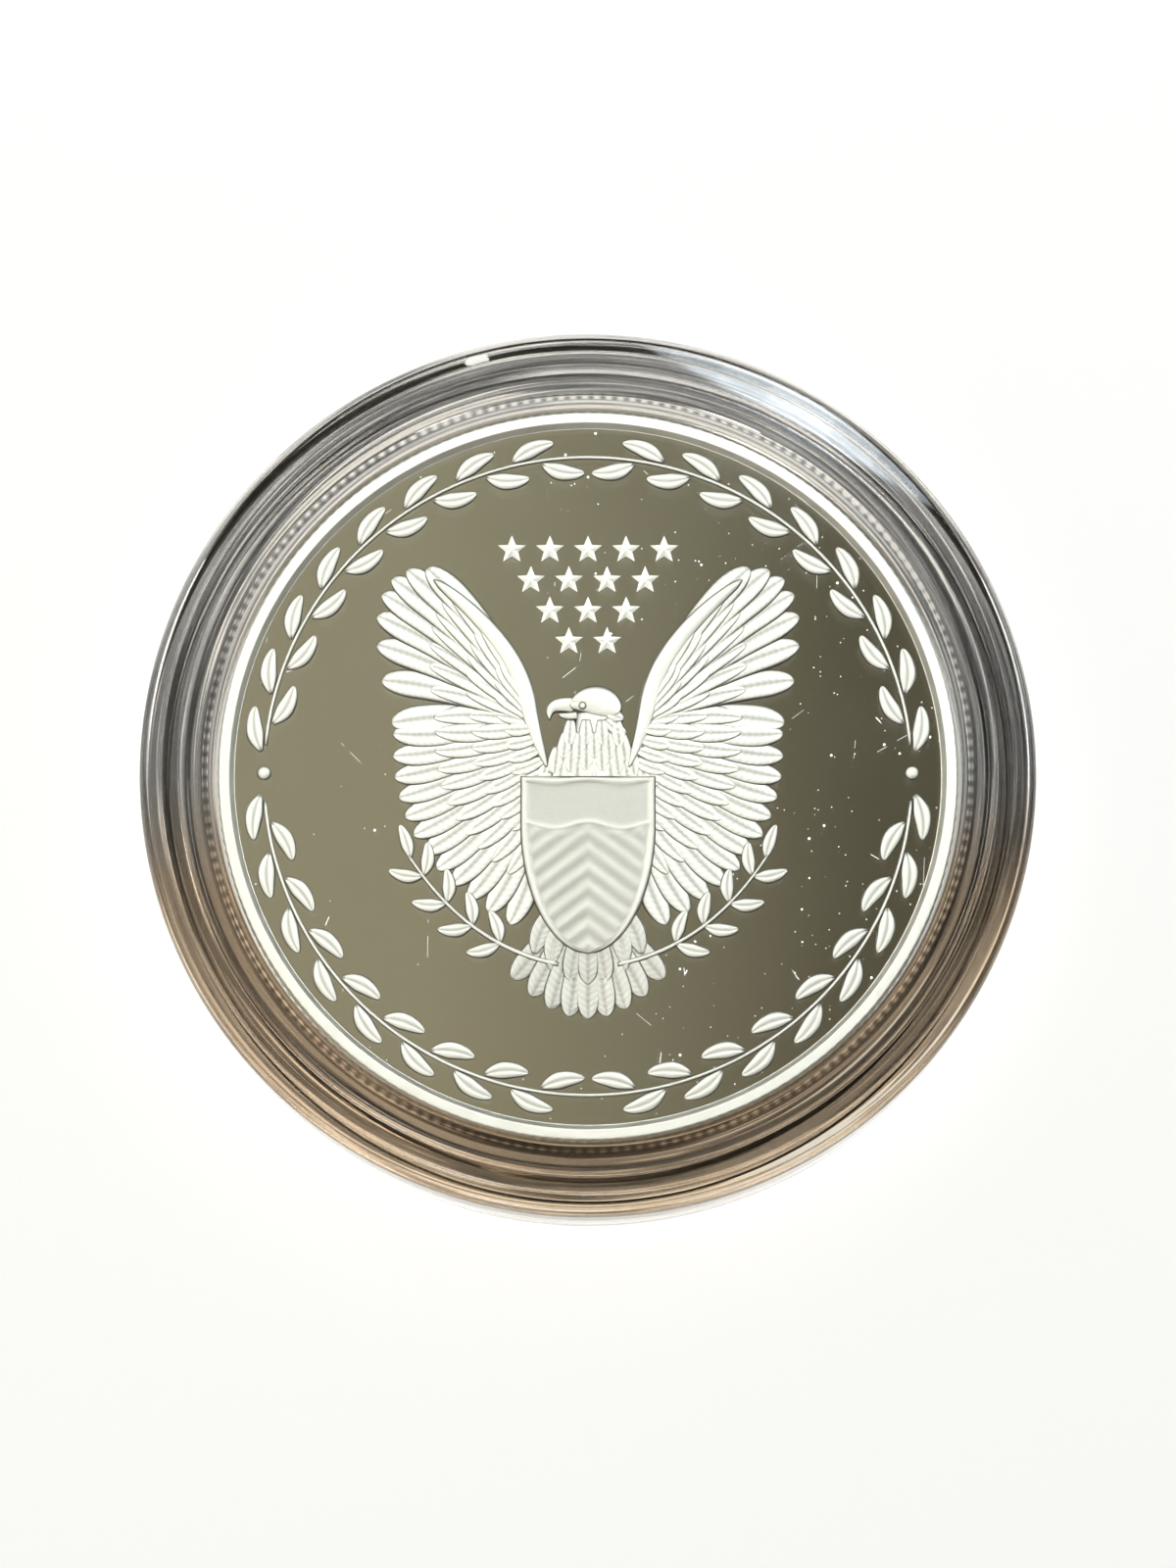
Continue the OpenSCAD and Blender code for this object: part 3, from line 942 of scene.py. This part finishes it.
def wing_skin():
    """Right wing: a row of flight feathers, three shorter rows over their roots and
    the leading edge, and four rows again for the hanging half. Each row's roots and
    tips lie along curves, and each shorter row lies a little higher."""
    upper = [
        feather_row(8, [(3.5, 4.3), (4.2, 3.8), (3.4, 2.8)],
                    [(8.9, 11.5), (13.2, 11.8), (10.8, 2.8)],
                    1.6, 0.05, 0.02, 0.09, vein=0.03, blunt=0.22, tilt=-0.06),
        feather_row(8, [(3.5, 4.3), (3.9, 3.6), (3.3, 2.8)], [(7.6, 10.0), (9.3, 8.9), (8.5, 3.1)],
                    1.25, 0.05, 0.07, 0.08, vein=0.025, tilt=-0.055),
        feather_row(7, [(3.4, 4.1), (3.6, 3.4), (3.2, 2.8)], [(5.9, 8.2), (7.0, 7.4), (6.6, 3.2)],
                    1.05, 0.04, 0.11, 0.08, vein=0.02, tilt=-0.05),
        feather_row(5, [(3.3, 3.9), (3.4, 3.2), (3.0, 2.8)], [(4.8, 6.2), (5.4, 5.8), (5.0, 3.2)],
                    0.9, 0.03, 0.14, 0.08, vein=0.015, tilt=-0.04),
        arm_skin()]
    lower = [
        feather_row(12, [(4.7, 2.8), (4.6, 0.2), (2.6, -2.8)],
                    [(10.7, 2.2), (11.1, -4.8), (4.3, -8.4)],
                    1.45, -0.05, 0.03, 0.1, vein=0.025, blunt=0.3, tilt=-0.045),
        feather_row(10, [(3.7, 2.7), (3.7, 0.8), (2.4, -1.6)],
                    [(8.4, 2.3), (8.7, -2.6), (4.4, -5.6)],
                    1.25, -0.05, 0.08, 0.1, vein=0.02, tilt=-0.045),
        feather_row(8, [(3.1, 2.6), (2.9, 1.0), (2.2, -0.6)],
                    [(6.4, 2.3), (6.6, -0.9), (4.2, -3.2)],
                    1.05, -0.04, 0.12, 0.1, vein=0.015, tilt=-0.04),
        feather_row(5, [(2.9, 2.5), (2.6, 1.4), (2.1, 0.2)], [(4.6, 2.4), (4.6, 0.6), (3.9, -0.6)],
                    0.9, -0.03, 0.16, 0.09, vein=0.01, tilt=-0.03)]
    return joined(*lower, *upper)


class CAPSULE_OT_wings(bpy.types.Operator):
    """Add both raised wings, each a shingle of domed feathers"""
    bl_idname = "capsule.wings"
    bl_label = "Wings"

    def execute(self, context):
        right = wing_skin()
        add_device("wing_right", right)
        add_device("wing_left", mirrored(right))
        return {"FINISHED"}


class CAPSULE_OT_tail(bpy.types.Operator):
    """Add the tail: two fans of feathers under the shield's point"""
    bl_idname = "capsule.tail"
    bl_label = "Tail"

    def execute(self, context):
        lean = 0.05 * np.sign(np.arange(9) - 4)
        # Painted shade: the dull values draw the tail's feathers darker all over
        long_fan = feather_row(9, [(-1.0, -7.6), (0, -8.6), (1.0, -7.6)],
                               [(-4.1, -11.4), (0, -15.8), (4.1, -11.4)],
                               1.35, 0, 0.03, 0.09, vein=0.03, blunt=0.25, top=0.5, tilt=lean,
                               dull=0.22)
        short_fan = feather_row(7, [(-0.8, -7.2), (0, -8.0), (0.8, -7.2)],
                                [(-3.0, -10.0), (0, -13.4), (3.0, -10.0)],
                                1.2, 0, 0.09, 0.08, vein=0.02, blunt=0.3, top=0.5,
                                tilt=lean[1:-1], dull=0.3)
        tufts = leaf_shapes([(1.2, -7.8), (1.5, -7.2), (-1.2, -7.8), (-1.5, -7.2)],
                            [(2.0, -10.6), (2.9, -10.0), (-2.0, -10.6), (-2.9, -10.0)],
                            1.2, [0.06, 0.08, -0.06, -0.08], 0.12, 0.1, vein=0.02, dull=0.25)
        add_device("tail", joined(long_fan, short_fan, tufts))
        return {"FINISHED"}


class CAPSULE_OT_shield(bpy.types.Operator):
    """Add the shield: a raised border round a field of fine chevrons"""
    bl_idname = "capsule.shield"
    bl_label = "Shield"

    def execute(self, context):
        """Outline: the full half width down to a share of 0.3, then times
        sqrt(1 - u^1.9), u running from 0 there to 1 at the point. Height: a border
        near the edge, a bar under the chief, and chevrons below it that are a
        cosine of y + 0.75 |x|."""
        top_y, tall, half_width, straight = -0.2, 9.8, 3.7, 0.3
        lower = straight + (1 - straight) * np.sin(np.linspace(0.03, 0.998, 66) * math.pi / 2)
        s = np.concatenate([np.linspace(0.001, straight, 24), lower])
        curve = np.sqrt(1 - np.clip((s - straight) / (1 - straight), 0, 1) ** 1.9)
        half = half_width * curve
        v = np.linspace(-1, 1, 61)
        x = half[:, None] * v
        wave = 0.25 * (1 - s) * np.clip(s / 0.1, 0, 1)
        y = top_y - tall * s[:, None] + wave[:, None] * np.cos(v * 2 * math.pi)
        to_side = half[:, None] - np.abs(x)
        to_top = tall * s[:, None] + 0 * x
        inset = np.minimum(to_side, to_top)
        border = np.exp(-((inset - 0.22) / 0.14) ** 2)
        edge = np.clip(inset / 0.08, 0, 1) ** 0.5
        chevron = 0.5 + 0.5 * np.cos((y + 0.75 * np.abs(x)) * 2 * math.pi / 1.05)
        chevron = chevron * (inset > 0.5) * (to_top > 2.9)
        bar = np.exp(-((to_top - 2.7) / 0.1) ** 2) * (to_side > 0.3)
        level = 0.24 + 0.02 * edge + 0.09 * border + 0.05 * chevron + 0.07 * bar
        wide = np.concatenate([x, x[:, -1:] * 1.01, x[:, :1] * 1.01], axis=1)
        deep = np.concatenate([y, y[:, -1:], y[:, :1]], axis=1)
        high = np.concatenate([level, np.full((len(s), 2), FOOT)], axis=1)
        # Painted shade: the field is drawn darker, more so in the chevrons' valleys, lighter on the
        # raised border and bar, and dark on the walls
        dull = 0.36 + 0.2 * (0.5 - chevron) * (chevron > 0) - 0.3 * border - 0.3 * bar
        dull = np.concatenate([np.clip(dull, 0, 1), np.ones((len(s), 2))], axis=1)
        rings = with_finish(np.stack([wide, deep, face_height(1) + high], axis=-1), dull)
        add_device("shield", loft(rings[None]))
        return {"FINISHED"}


def dome_along(path, widths, base, height, rows_across=13, side=1):
    """Closed domed strip along a path of points, with a half width at each. Its
    section is a half ellipse over the base, with walls down to the field."""
    path, widths = np.asarray(path, dtype=float), np.asarray(widths, dtype=float)
    heading = np.gradient(path, axis=0)
    heading /= np.linalg.norm(heading, axis=1, keepdims=True)
    normal = np.stack([-heading[:, 1], heading[:, 0]], axis=1)
    v = np.sin(np.linspace(-1, 1, rows_across) * math.pi / 2)
    edge = np.concatenate([v, [1.04, -1.04]])
    flat = path[:, None] + normal[:, None] * (widths[:, None] * edge)[..., None]
    top = base + height * np.sqrt(np.clip(1 - v ** 2, 0, 1)) * np.ones((len(path), 1))
    level = np.concatenate([top, np.full((len(path), 2), FOOT)], axis=1)
    z = face_height(side) + side * level
    # Painted shade at the strip's edges, from edge_line
    return loft(with_finish(np.concatenate([flat, z[..., None]], axis=-1), edge_line(edge))[None])


def button(centre, widths, levels, grooves, segments=24, side=1):
    """Closed round button on the coin: at each level over the field, a ring
    (x + w cos t, y + w sin t) of that level's half width and groove, its painted shade"""
    turn = np.linspace(0, 2 * math.pi, segments, endpoint=False)
    width, level, groove = (np.array(column)[:, None] for column in (widths, levels, grooves))
    rings = np.stack([centre[0] + width * np.cos(turn), centre[1] + width * np.sin(turn),
                      face_height(side) + side * level + 0 * turn], axis=-1)
    return loft(with_finish(rings, groove)[None])


class CAPSULE_OT_head(bpy.types.Operator):
    """Add the bird's breast, neck, head, hooked beak, brow and eye"""
    bl_idname = "capsule.head"
    bl_label = "Head"

    def execute(self, context):
        """Neck, skull, beak, jaw and brow are domes along curves, with a half width
        for each share of the way. Rows of small feathers cover the breast, their
        tips on parabolas that drop to both sides."""
        s = np.linspace(0, 1, 25)
        neck = dome_along(bezier([(0.2, -0.6), (0.6, 1.8), (0.5, 3.4)], s),
                          2.6 - 1.45 * np.sin(s * math.pi / 2) ** 1.3, 0.12, 0.12)
        t = np.linspace(0.01, 0.99, 31)
        skull = dome_along(bezier([(1.75, 3.3), (0.4, 4.5), (-1.0, 3.65)], t),
                           1.0 * np.sqrt(np.sin(t * math.pi)) * (1.05 - 0.35 * t), 0.16, 0.17)
        beak = dome_along(bezier([(-0.75, 3.75), (-2.3, 4.0), (-2.1, 2.95)], t),
                          0.42 * (1 - t ** 1.6) ** 0.7 + 0.02, 0.15, 0.13)
        jaw = dome_along(bezier([(-0.6, 3.2), (-1.2, 3.1), (-1.6, 3.25)], t),
                         0.2 * np.sqrt(1 - t ** 2) + 0.02, 0.12, 0.1)
        brow = dome_along(bezier([(0.3, 3.95), (-0.3, 4.15), (-0.85, 3.9)], t),
                          0.13 * np.sin(t * math.pi) + 0.02, 0.28, 0.06)
        # Painted shade: the eye is drawn dark on all but its top
        eye = button((-0.3, 3.72), (0.24, 0.22, 0.17, 0.08), (0.2, 0.335, 0.345, 0.36),
                     (1, 1, 0.9, 0))
        rows = []
        spans = [(0.55, 2.9, 7), (1.35, 2.2, 6), (2.1, 1.7, 5), (2.8, 1.4, 4)]
        for row, (y, half, count) in enumerate(spans):
            x = np.linspace(-half, half, count) + 0.35
            roots = np.stack([x * 0.9, y + 0.2 - 0.08 * x ** 2 * 0.3], axis=1)
            tips = np.stack([x, y - 1.3 - 0.04 * x ** 2], axis=1)
            rows.append(leaf_shapes(roots, tips, 1.0 - 0.05 * row, 0, 0.17 + 0.015 * row, 0.08,
                                    vein=0.015))
        nape = leaf_shapes([(0.6, 4.2), (0.9, 3.6), (0.9, 3.0)],
                           [(1.7, 3.9), (1.95, 3.0), (2.1, 2.2)], 0.75, -0.08, 0.2, 0.09, vein=0.02)
        add_device("head", joined(neck, *rows, nape, skull, beak, jaw, brow, eye))
        return {"FINISHED"}


class CAPSULE_OT_sprigs(bpy.types.Operator):
    """Add the two laurel sprigs beside the tail"""
    bl_idname = "capsule.sprigs"
    bl_label = "Sprigs"

    def execute(self, context):
        """A thin dome along a curve is the stem. Pairs of leaves stand on it at even
        shares, each turned 0.75 radians away from its heading."""
        knots = [(1.6, -10.6), (6.6, -9.6), (9.8, -4.6)]
        s = np.linspace(0, 1, 33)
        stem = dome_along(bezier(knots, s), 0.14 - 0.05 * s, 0.12, 0.1, rows_across=7)
        joints = np.repeat(np.array([0.34, 0.52, 0.7, 0.88]), 2)
        roots = bezier(knots, joints)
        ahead = bezier(knots, joints + 0.02) - roots
        ahead /= np.linalg.norm(ahead, axis=1, keepdims=True)
        open_out = np.tile([0.75, -0.75], 4)
        turned = np.stack([ahead[:, 0] * np.cos(open_out) - ahead[:, 1] * np.sin(open_out),
                           ahead[:, 0] * np.sin(open_out) + ahead[:, 1] * np.cos(open_out)], axis=1)
        leaves = leaf_shapes(roots, roots + 1.9 * turned, 0.85, np.tile([0.08, -0.08], 4),
                             0.12, 0.13, blunt=0.8, vein=0.05, root=0.15, barbs=0)
        tip = leaf_shapes([(9.7, -4.8)], [(10.3, -2.9)], 0.8, 0.04, 0.12, 0.13, blunt=0.8,
                          vein=0.05, root=0.15, barbs=0)
        right = joined(stem, leaves, tip)
        add_device("sprig_right", right)
        add_device("sprig_left", mirrored(right))
        return {"FINISHED"}


class CAPSULE_OT_stars(bpy.types.Operator):
    """Add rows of five, four, three and two faceted stars over the head"""
    bl_idname = "capsule.stars"
    bl_label = "Stars"

    def execute(self, context):
        """Each star's outline alternates between two radii every 36 degrees, and
        flat facets rise from it to the middle."""
        counts, top_row = (5, 4, 3, 2), 12.5
        step, row_step, outer, inner = 2.1, 1.72, 0.82, 0.36
        row = np.repeat(np.arange(len(counts)), counts)
        place = np.concatenate([np.arange(count) - (count - 1) / 2 for count in counts])
        centre = np.stack([place * step, top_row - row * row_step], axis=1)
        turn = np.arange(10) * math.pi / 5
        r = np.where(np.arange(10) % 2 == 0, outer, inner)
        outline = np.stack([r * np.sin(turn), r * np.cos(turn)], axis=1)
        flat = centre[:, None, None] + outline * np.array([1.04, 1])[:, None, None]
        level = np.broadcast_to(np.array([FOOT, 0.08])[:, None], (len(centre), 2, 10))
        rings = np.concatenate([flat, (face_height(1) + level)[..., None]], axis=-1)
        # Painted shade: dark at each star's foot, none at its upper ring
        rings = with_finish(rings, np.array([1.0, 0.0])[:, None])
        low, apex = (with_finish(np.concatenate(
            [centre, np.full((len(centre), 1), face_height(1) + height)], axis=1))
            for height in (FOOT, 0.16))
        piece = add_device("stars", loft(rings, np.stack([low, apex], axis=1)))
        facets = piece.data.polygons
        facets.foreach_set("use_smooth", np.zeros(len(facets), dtype=bool))
        return {"FINISHED"}


def laurel_skin(side):
    """Ring of laurel in the band inside the rim. A quarter's leaves stand at even
    angles from the gap at its side, by turns outside and inside the stem's radius.
    Each runs from 0.16 to 0.88 mm off that radius while the angle grows by twice
    half_turn, and it is mirrored in both axes for the other quarters."""
    radius, count, gap = band_radius(), 16, math.radians(5)
    reach = math.radians(88) - gap
    share = (np.arange(count) + 0.5) / count
    angle = gap + reach * share
    out = np.where(np.arange(count) % 2 == 0, 1.0, -1.0)
    start, end = radius + 0.16 * out, radius + 0.88 * out
    half_turn = 1.22 / radius
    roots = np.stack([start * np.cos(angle - half_turn), start * np.sin(angle - half_turn)], axis=1)
    tips = np.stack([end * np.cos(angle + half_turn), end * np.sin(angle + half_turn)], axis=1)
    flips = np.array([[1, 1], [-1, 1], [-1, -1], [1, -1]])
    all_roots = (roots[None] * flips[:, None]).reshape(-1, 2)
    all_tips = (tips[None] * flips[:, None]).reshape(-1, 2)
    bend = (0.09 * out[None] * flips.prod(axis=1)[:, None]).ravel()
    leaves = leaf_shapes(all_roots, all_tips, 1.06, -bend, 0.05, 0.15, side=side, blunt=0.8,
                         vein=0.05, root=0.15, barbs=0)
    parts = [leaves]
    for middle in (math.pi / 2, -math.pi / 2):
        turn = middle + np.linspace(-1, 1, 97) * (math.pi / 2 - gap)
        path = radius * np.stack([np.cos(turn), np.sin(turn)], axis=1)
        parts.append(dome_along(path, np.full(97, 0.11), 0.04, 0.1, rows_across=7, side=side))
    for x in (-radius, radius):
        # Painted shade darkens each button's foot
        parts.append(button((x, 0), (0.4, 0.39, 0.3, 0.14), (FOOT, 0.08, 0.17, 0.21),
                            (1, 0.6, 0, 0), side=side))
    return joined(*parts)


class CAPSULE_OT_laurel(bpy.types.Operator):
    """Add a ring of laurel inside the rim on both faces"""
    bl_idname = "capsule.laurel"
    bl_label = "Laurel rings"

    def execute(self, context):
        for name, side in (("laurel_front", 1), ("laurel_back", -1)):
            add_device(name, laurel_skin(side))
        return {"FINISHED"}


class CAPSULE_OT_rosette(bpy.types.Operator):
    """Add the rosette on the lower face: petals round a domed middle"""
    bl_idname = "capsule.rosette"
    bl_label = "Rosette"

    def execute(self, context):
        """Sixteen petals point outwards at even angles, with shorter ones between
        them, and a button covers their roots."""
        turn = np.arange(16) * math.pi / 8
        out = np.stack([np.cos(turn), np.sin(turn)], axis=1)
        between = np.stack([np.cos(turn + math.pi / 16), np.sin(turn + math.pi / 16)], axis=1)
        root = 3.2
        petals = leaf_shapes(root * out, 11 * out, 2.2, 0, 0.05, 0.16, side=-1, blunt=0.7,
                             vein=0.05, barbs=0)
        small = leaf_shapes(root * between, 7.6 * between, 1.3, 0, 0.1, 0.14, side=-1, blunt=0.7,
                            vein=0.04, barbs=0)
        # Painted shade darkens the dome's foot
        dome = button((0, 0), (3.6, 3.55, 3.3, 2.9, 2.0, 1.0), (FOOT, 0.1, 0.17, 0.22, 0.27, 0.3),
                      (1, 0.6, 0, 0, 0, 0), segments=96, side=-1)
        add_device("rosette", joined(petals, small, dome))
        return {"FINISHED"}


# ---------------------------------------------------------------- stage

# Nested strips of light, so that their glare on the ring fades out at its sides
STRIP_WIDTHS = [0.01 + 0.015 * step for step in range(5)]
# Each lamp: name, place in metres, size, power in watts, colour and, where it faces
# straight down, its turn in degrees
LAMPS = [
    ("window_light", (0.33, 0.19, 0.55), (0.15, 0.2), 1.0, (0.9, 0.96, 1.0), None),
    *(("strip_light_%d" % step, (0.091, 0.2365, 0.45 + 0.001 * step), (0.25, wide), 2.8 * wide,
       (0.85, 0.94, 1.0), 60) for step, wide in enumerate(STRIP_WIDTHS)),
    ("left_light", (-0.31, 0.17, 0.55), (0.2, 0.2), 1.3, (1.0, 0.98, 0.94), None),
    ("front_light", (-0.18, -0.31, 0.55), (0.24, 0.18), 0.7, (1.0, 0.95, 0.9), None),
    ("back_light", (0.0, 0.36, 0.55), (0.3, 0.14), 0.6, (0.95, 0.98, 1.0), None)]

# The studio's brightness: by height, from the horizon to straight up, and by the share
# of the way from -Y to +Y and from -X to +X
SKY_BY_HEIGHT = [
    (0.0, (0.45, 0.45, 0.45)), (0.5, (0.35, 0.35, 0.35)), (0.85, (0.25, 0.24, 0.2)),
    (0.95, (0.33, 0.3, 0.215)), (1.0, (0.33, 0.3, 0.215))]
SKY_BY_DEPTH = [
    (0.0, (1.0, 0.86, 0.72)), (0.45, (1.0, 0.93, 0.84)), (0.6, (0.97, 0.98, 0.95)),
    (1.0, (0.9, 0.98, 1.0))]
SKY_BY_SIDE = [
    (0.0, (1.1, 1.1, 1.1)), (0.485, (1.0, 1.0, 1.0)), (0.505, (0.72, 0.72, 0.72)),
    (0.525, (0.33, 0.32, 0.31)), (0.6, (0.3, 0.3, 0.3)), (1.0, (0.5, 0.5, 0.5))]


def build_world(context):
    """A dim studio: bright near the horizon, olive brown overhead, cool towards +Y,
    warm towards -Y and darker towards +X"""
    world = bpy.data.worlds.new("studio")
    world.use_nodes = True
    tree = world.node_tree
    x, y, z = split_axes(tree, tree.nodes.new("ShaderNodeTexCoord").outputs["Generated"])
    x, y = (math_node(tree, "MULTIPLY_ADD", axis, 0.5, 0.5) for axis in (x, y))
    sky = multiply_colours(tree, colour_ramp(tree, z, SKY_BY_HEIGHT),
                           colour_ramp(tree, y, SKY_BY_DEPTH), colour_ramp(tree, x, SKY_BY_SIDE))
    tree.links.new(sky, tree.nodes["Background"].inputs["Color"])
    tree.nodes["Background"].inputs["Strength"].default_value = 1
    context.scene.world = world


def add_lamp(name, place, size, power, tint, turn):
    """A soft box that faces the capsule, or straight down where it has a turn"""
    light = bpy.data.lights.new(name, "AREA")
    light.shape = "RECTANGLE"
    light.size, light.size_y = size
    light.energy = power
    light.color = tint
    lamp = bpy.data.objects.new(name, light)
    bpy.context.collection.objects.link(lamp)
    lamp.location = place
    if turn is None:
        lamp.rotation_euler = (-lamp.location).to_track_quat("-Z", "Y").to_euler()
    else:
        lamp.rotation_euler = (0, 0, math.radians(turn))


class CAPSULE_OT_stage(bpy.types.Operator):
    """Add the floor, the studio light and the camera"""
    bl_idname = "capsule.stage"
    bl_label = "Stage"

    def execute(self, context):
        """The camera stands on an arc of the set distance, tilted towards -Y, and
        looks at a point close to the capsule's middle."""
        stage = context.scene.capsule_stage
        floor_mesh = bpy.data.meshes.new("floor")
        reach, under = 0.7, -0.00002    # metres; just clear of the capsule's foot
        floor_mesh.from_pydata([(-reach, -reach, under), (reach, -reach, under),
                                (reach, reach, under), (-reach, reach, under)], [], [(0, 1, 2, 3)])
        floor = bpy.data.objects.new("floor", floor_mesh)
        context.collection.objects.link(floor)
        material, _, shader, _ = blank_material("floor_card")
        shader.inputs["Base Color"].default_value = (*stage.floor, 1)
        shader.inputs["Roughness"].default_value = 0.8
        floor_mesh.materials.append(material)
        build_world(context)
        for lamp in LAMPS:
            add_lamp(*lamp)
        camera = bpy.data.cameras.new("camera")
        camera.lens = stage.focal
        camera.clip_start, camera.clip_end = 0.01, 10
        eye = bpy.data.objects.new("camera", camera)
        context.collection.objects.link(eye)
        aim_y = -0.35 * MM      # sets the capsule a little high in the frame
        middle = CAPSULE_H / 2 * MM
        eye.location = (0, aim_y - stage.distance * math.sin(stage.tilt),
                        middle + stage.distance * math.cos(stage.tilt))
        eye.rotation_euler = (stage.tilt, 0, 0)
        context.scene.camera = eye
        context.scene.view_settings.view_transform = "Standard"
        return {"FINISHED"}


# ---------------------------------------------------------------- add-on

OPERATORS = (
    CAPSULE_OT_base, CAPSULE_OT_coin_blank, CAPSULE_OT_laurel, CAPSULE_OT_wings, CAPSULE_OT_tail,
    CAPSULE_OT_shield, CAPSULE_OT_head, CAPSULE_OT_sprigs, CAPSULE_OT_stars, CAPSULE_OT_rosette,
    CAPSULE_OT_lid, CAPSULE_OT_gate, CAPSULE_OT_stage)


class CAPSULE_PT_panel(bpy.types.Panel):
    """Buttons for the capsule's pieces, over their sizes and finishes"""
    bl_label = "Coin Capsule"
    bl_idname = "CAPSULE_PT_panel"
    bl_space_type = "VIEW_3D"
    bl_region_type = "UI"
    bl_category = "Capsule"

    def draw(self, context):
        for operator in OPERATORS:
            self.layout.operator(operator.bl_idname)
        for group in SETTINGS:
            settings = getattr(context.scene, group)
            for name in settings.__annotations__:
                self.layout.prop(settings, name)


SETTINGS = {"capsule_sizes": CapsuleSizes, "coin_sizes": CoinSizes,
            "capsule_finishes": Finishes, "capsule_stage": StageSettings}
CLASSES = (*SETTINGS.values(), *OPERATORS, CAPSULE_PT_panel)


def register():
    for cls in CLASSES:
        bpy.utils.register_class(cls)
    for name, cls in SETTINGS.items():
        setattr(bpy.types.Scene, name, bpy.props.PointerProperty(type=cls))


def unregister():
    for name in SETTINGS:
        delattr(bpy.types.Scene, name)
    for cls in reversed(CLASSES):
        bpy.utils.unregister_class(cls)


def main():
    """Registers the add-on and adds every piece and the stage"""
    register()
    for operator in OPERATORS:
        group, name = operator.bl_idname.split(".")
        getattr(getattr(bpy.ops, group), name)()


if __name__ == "__main__":
    main()
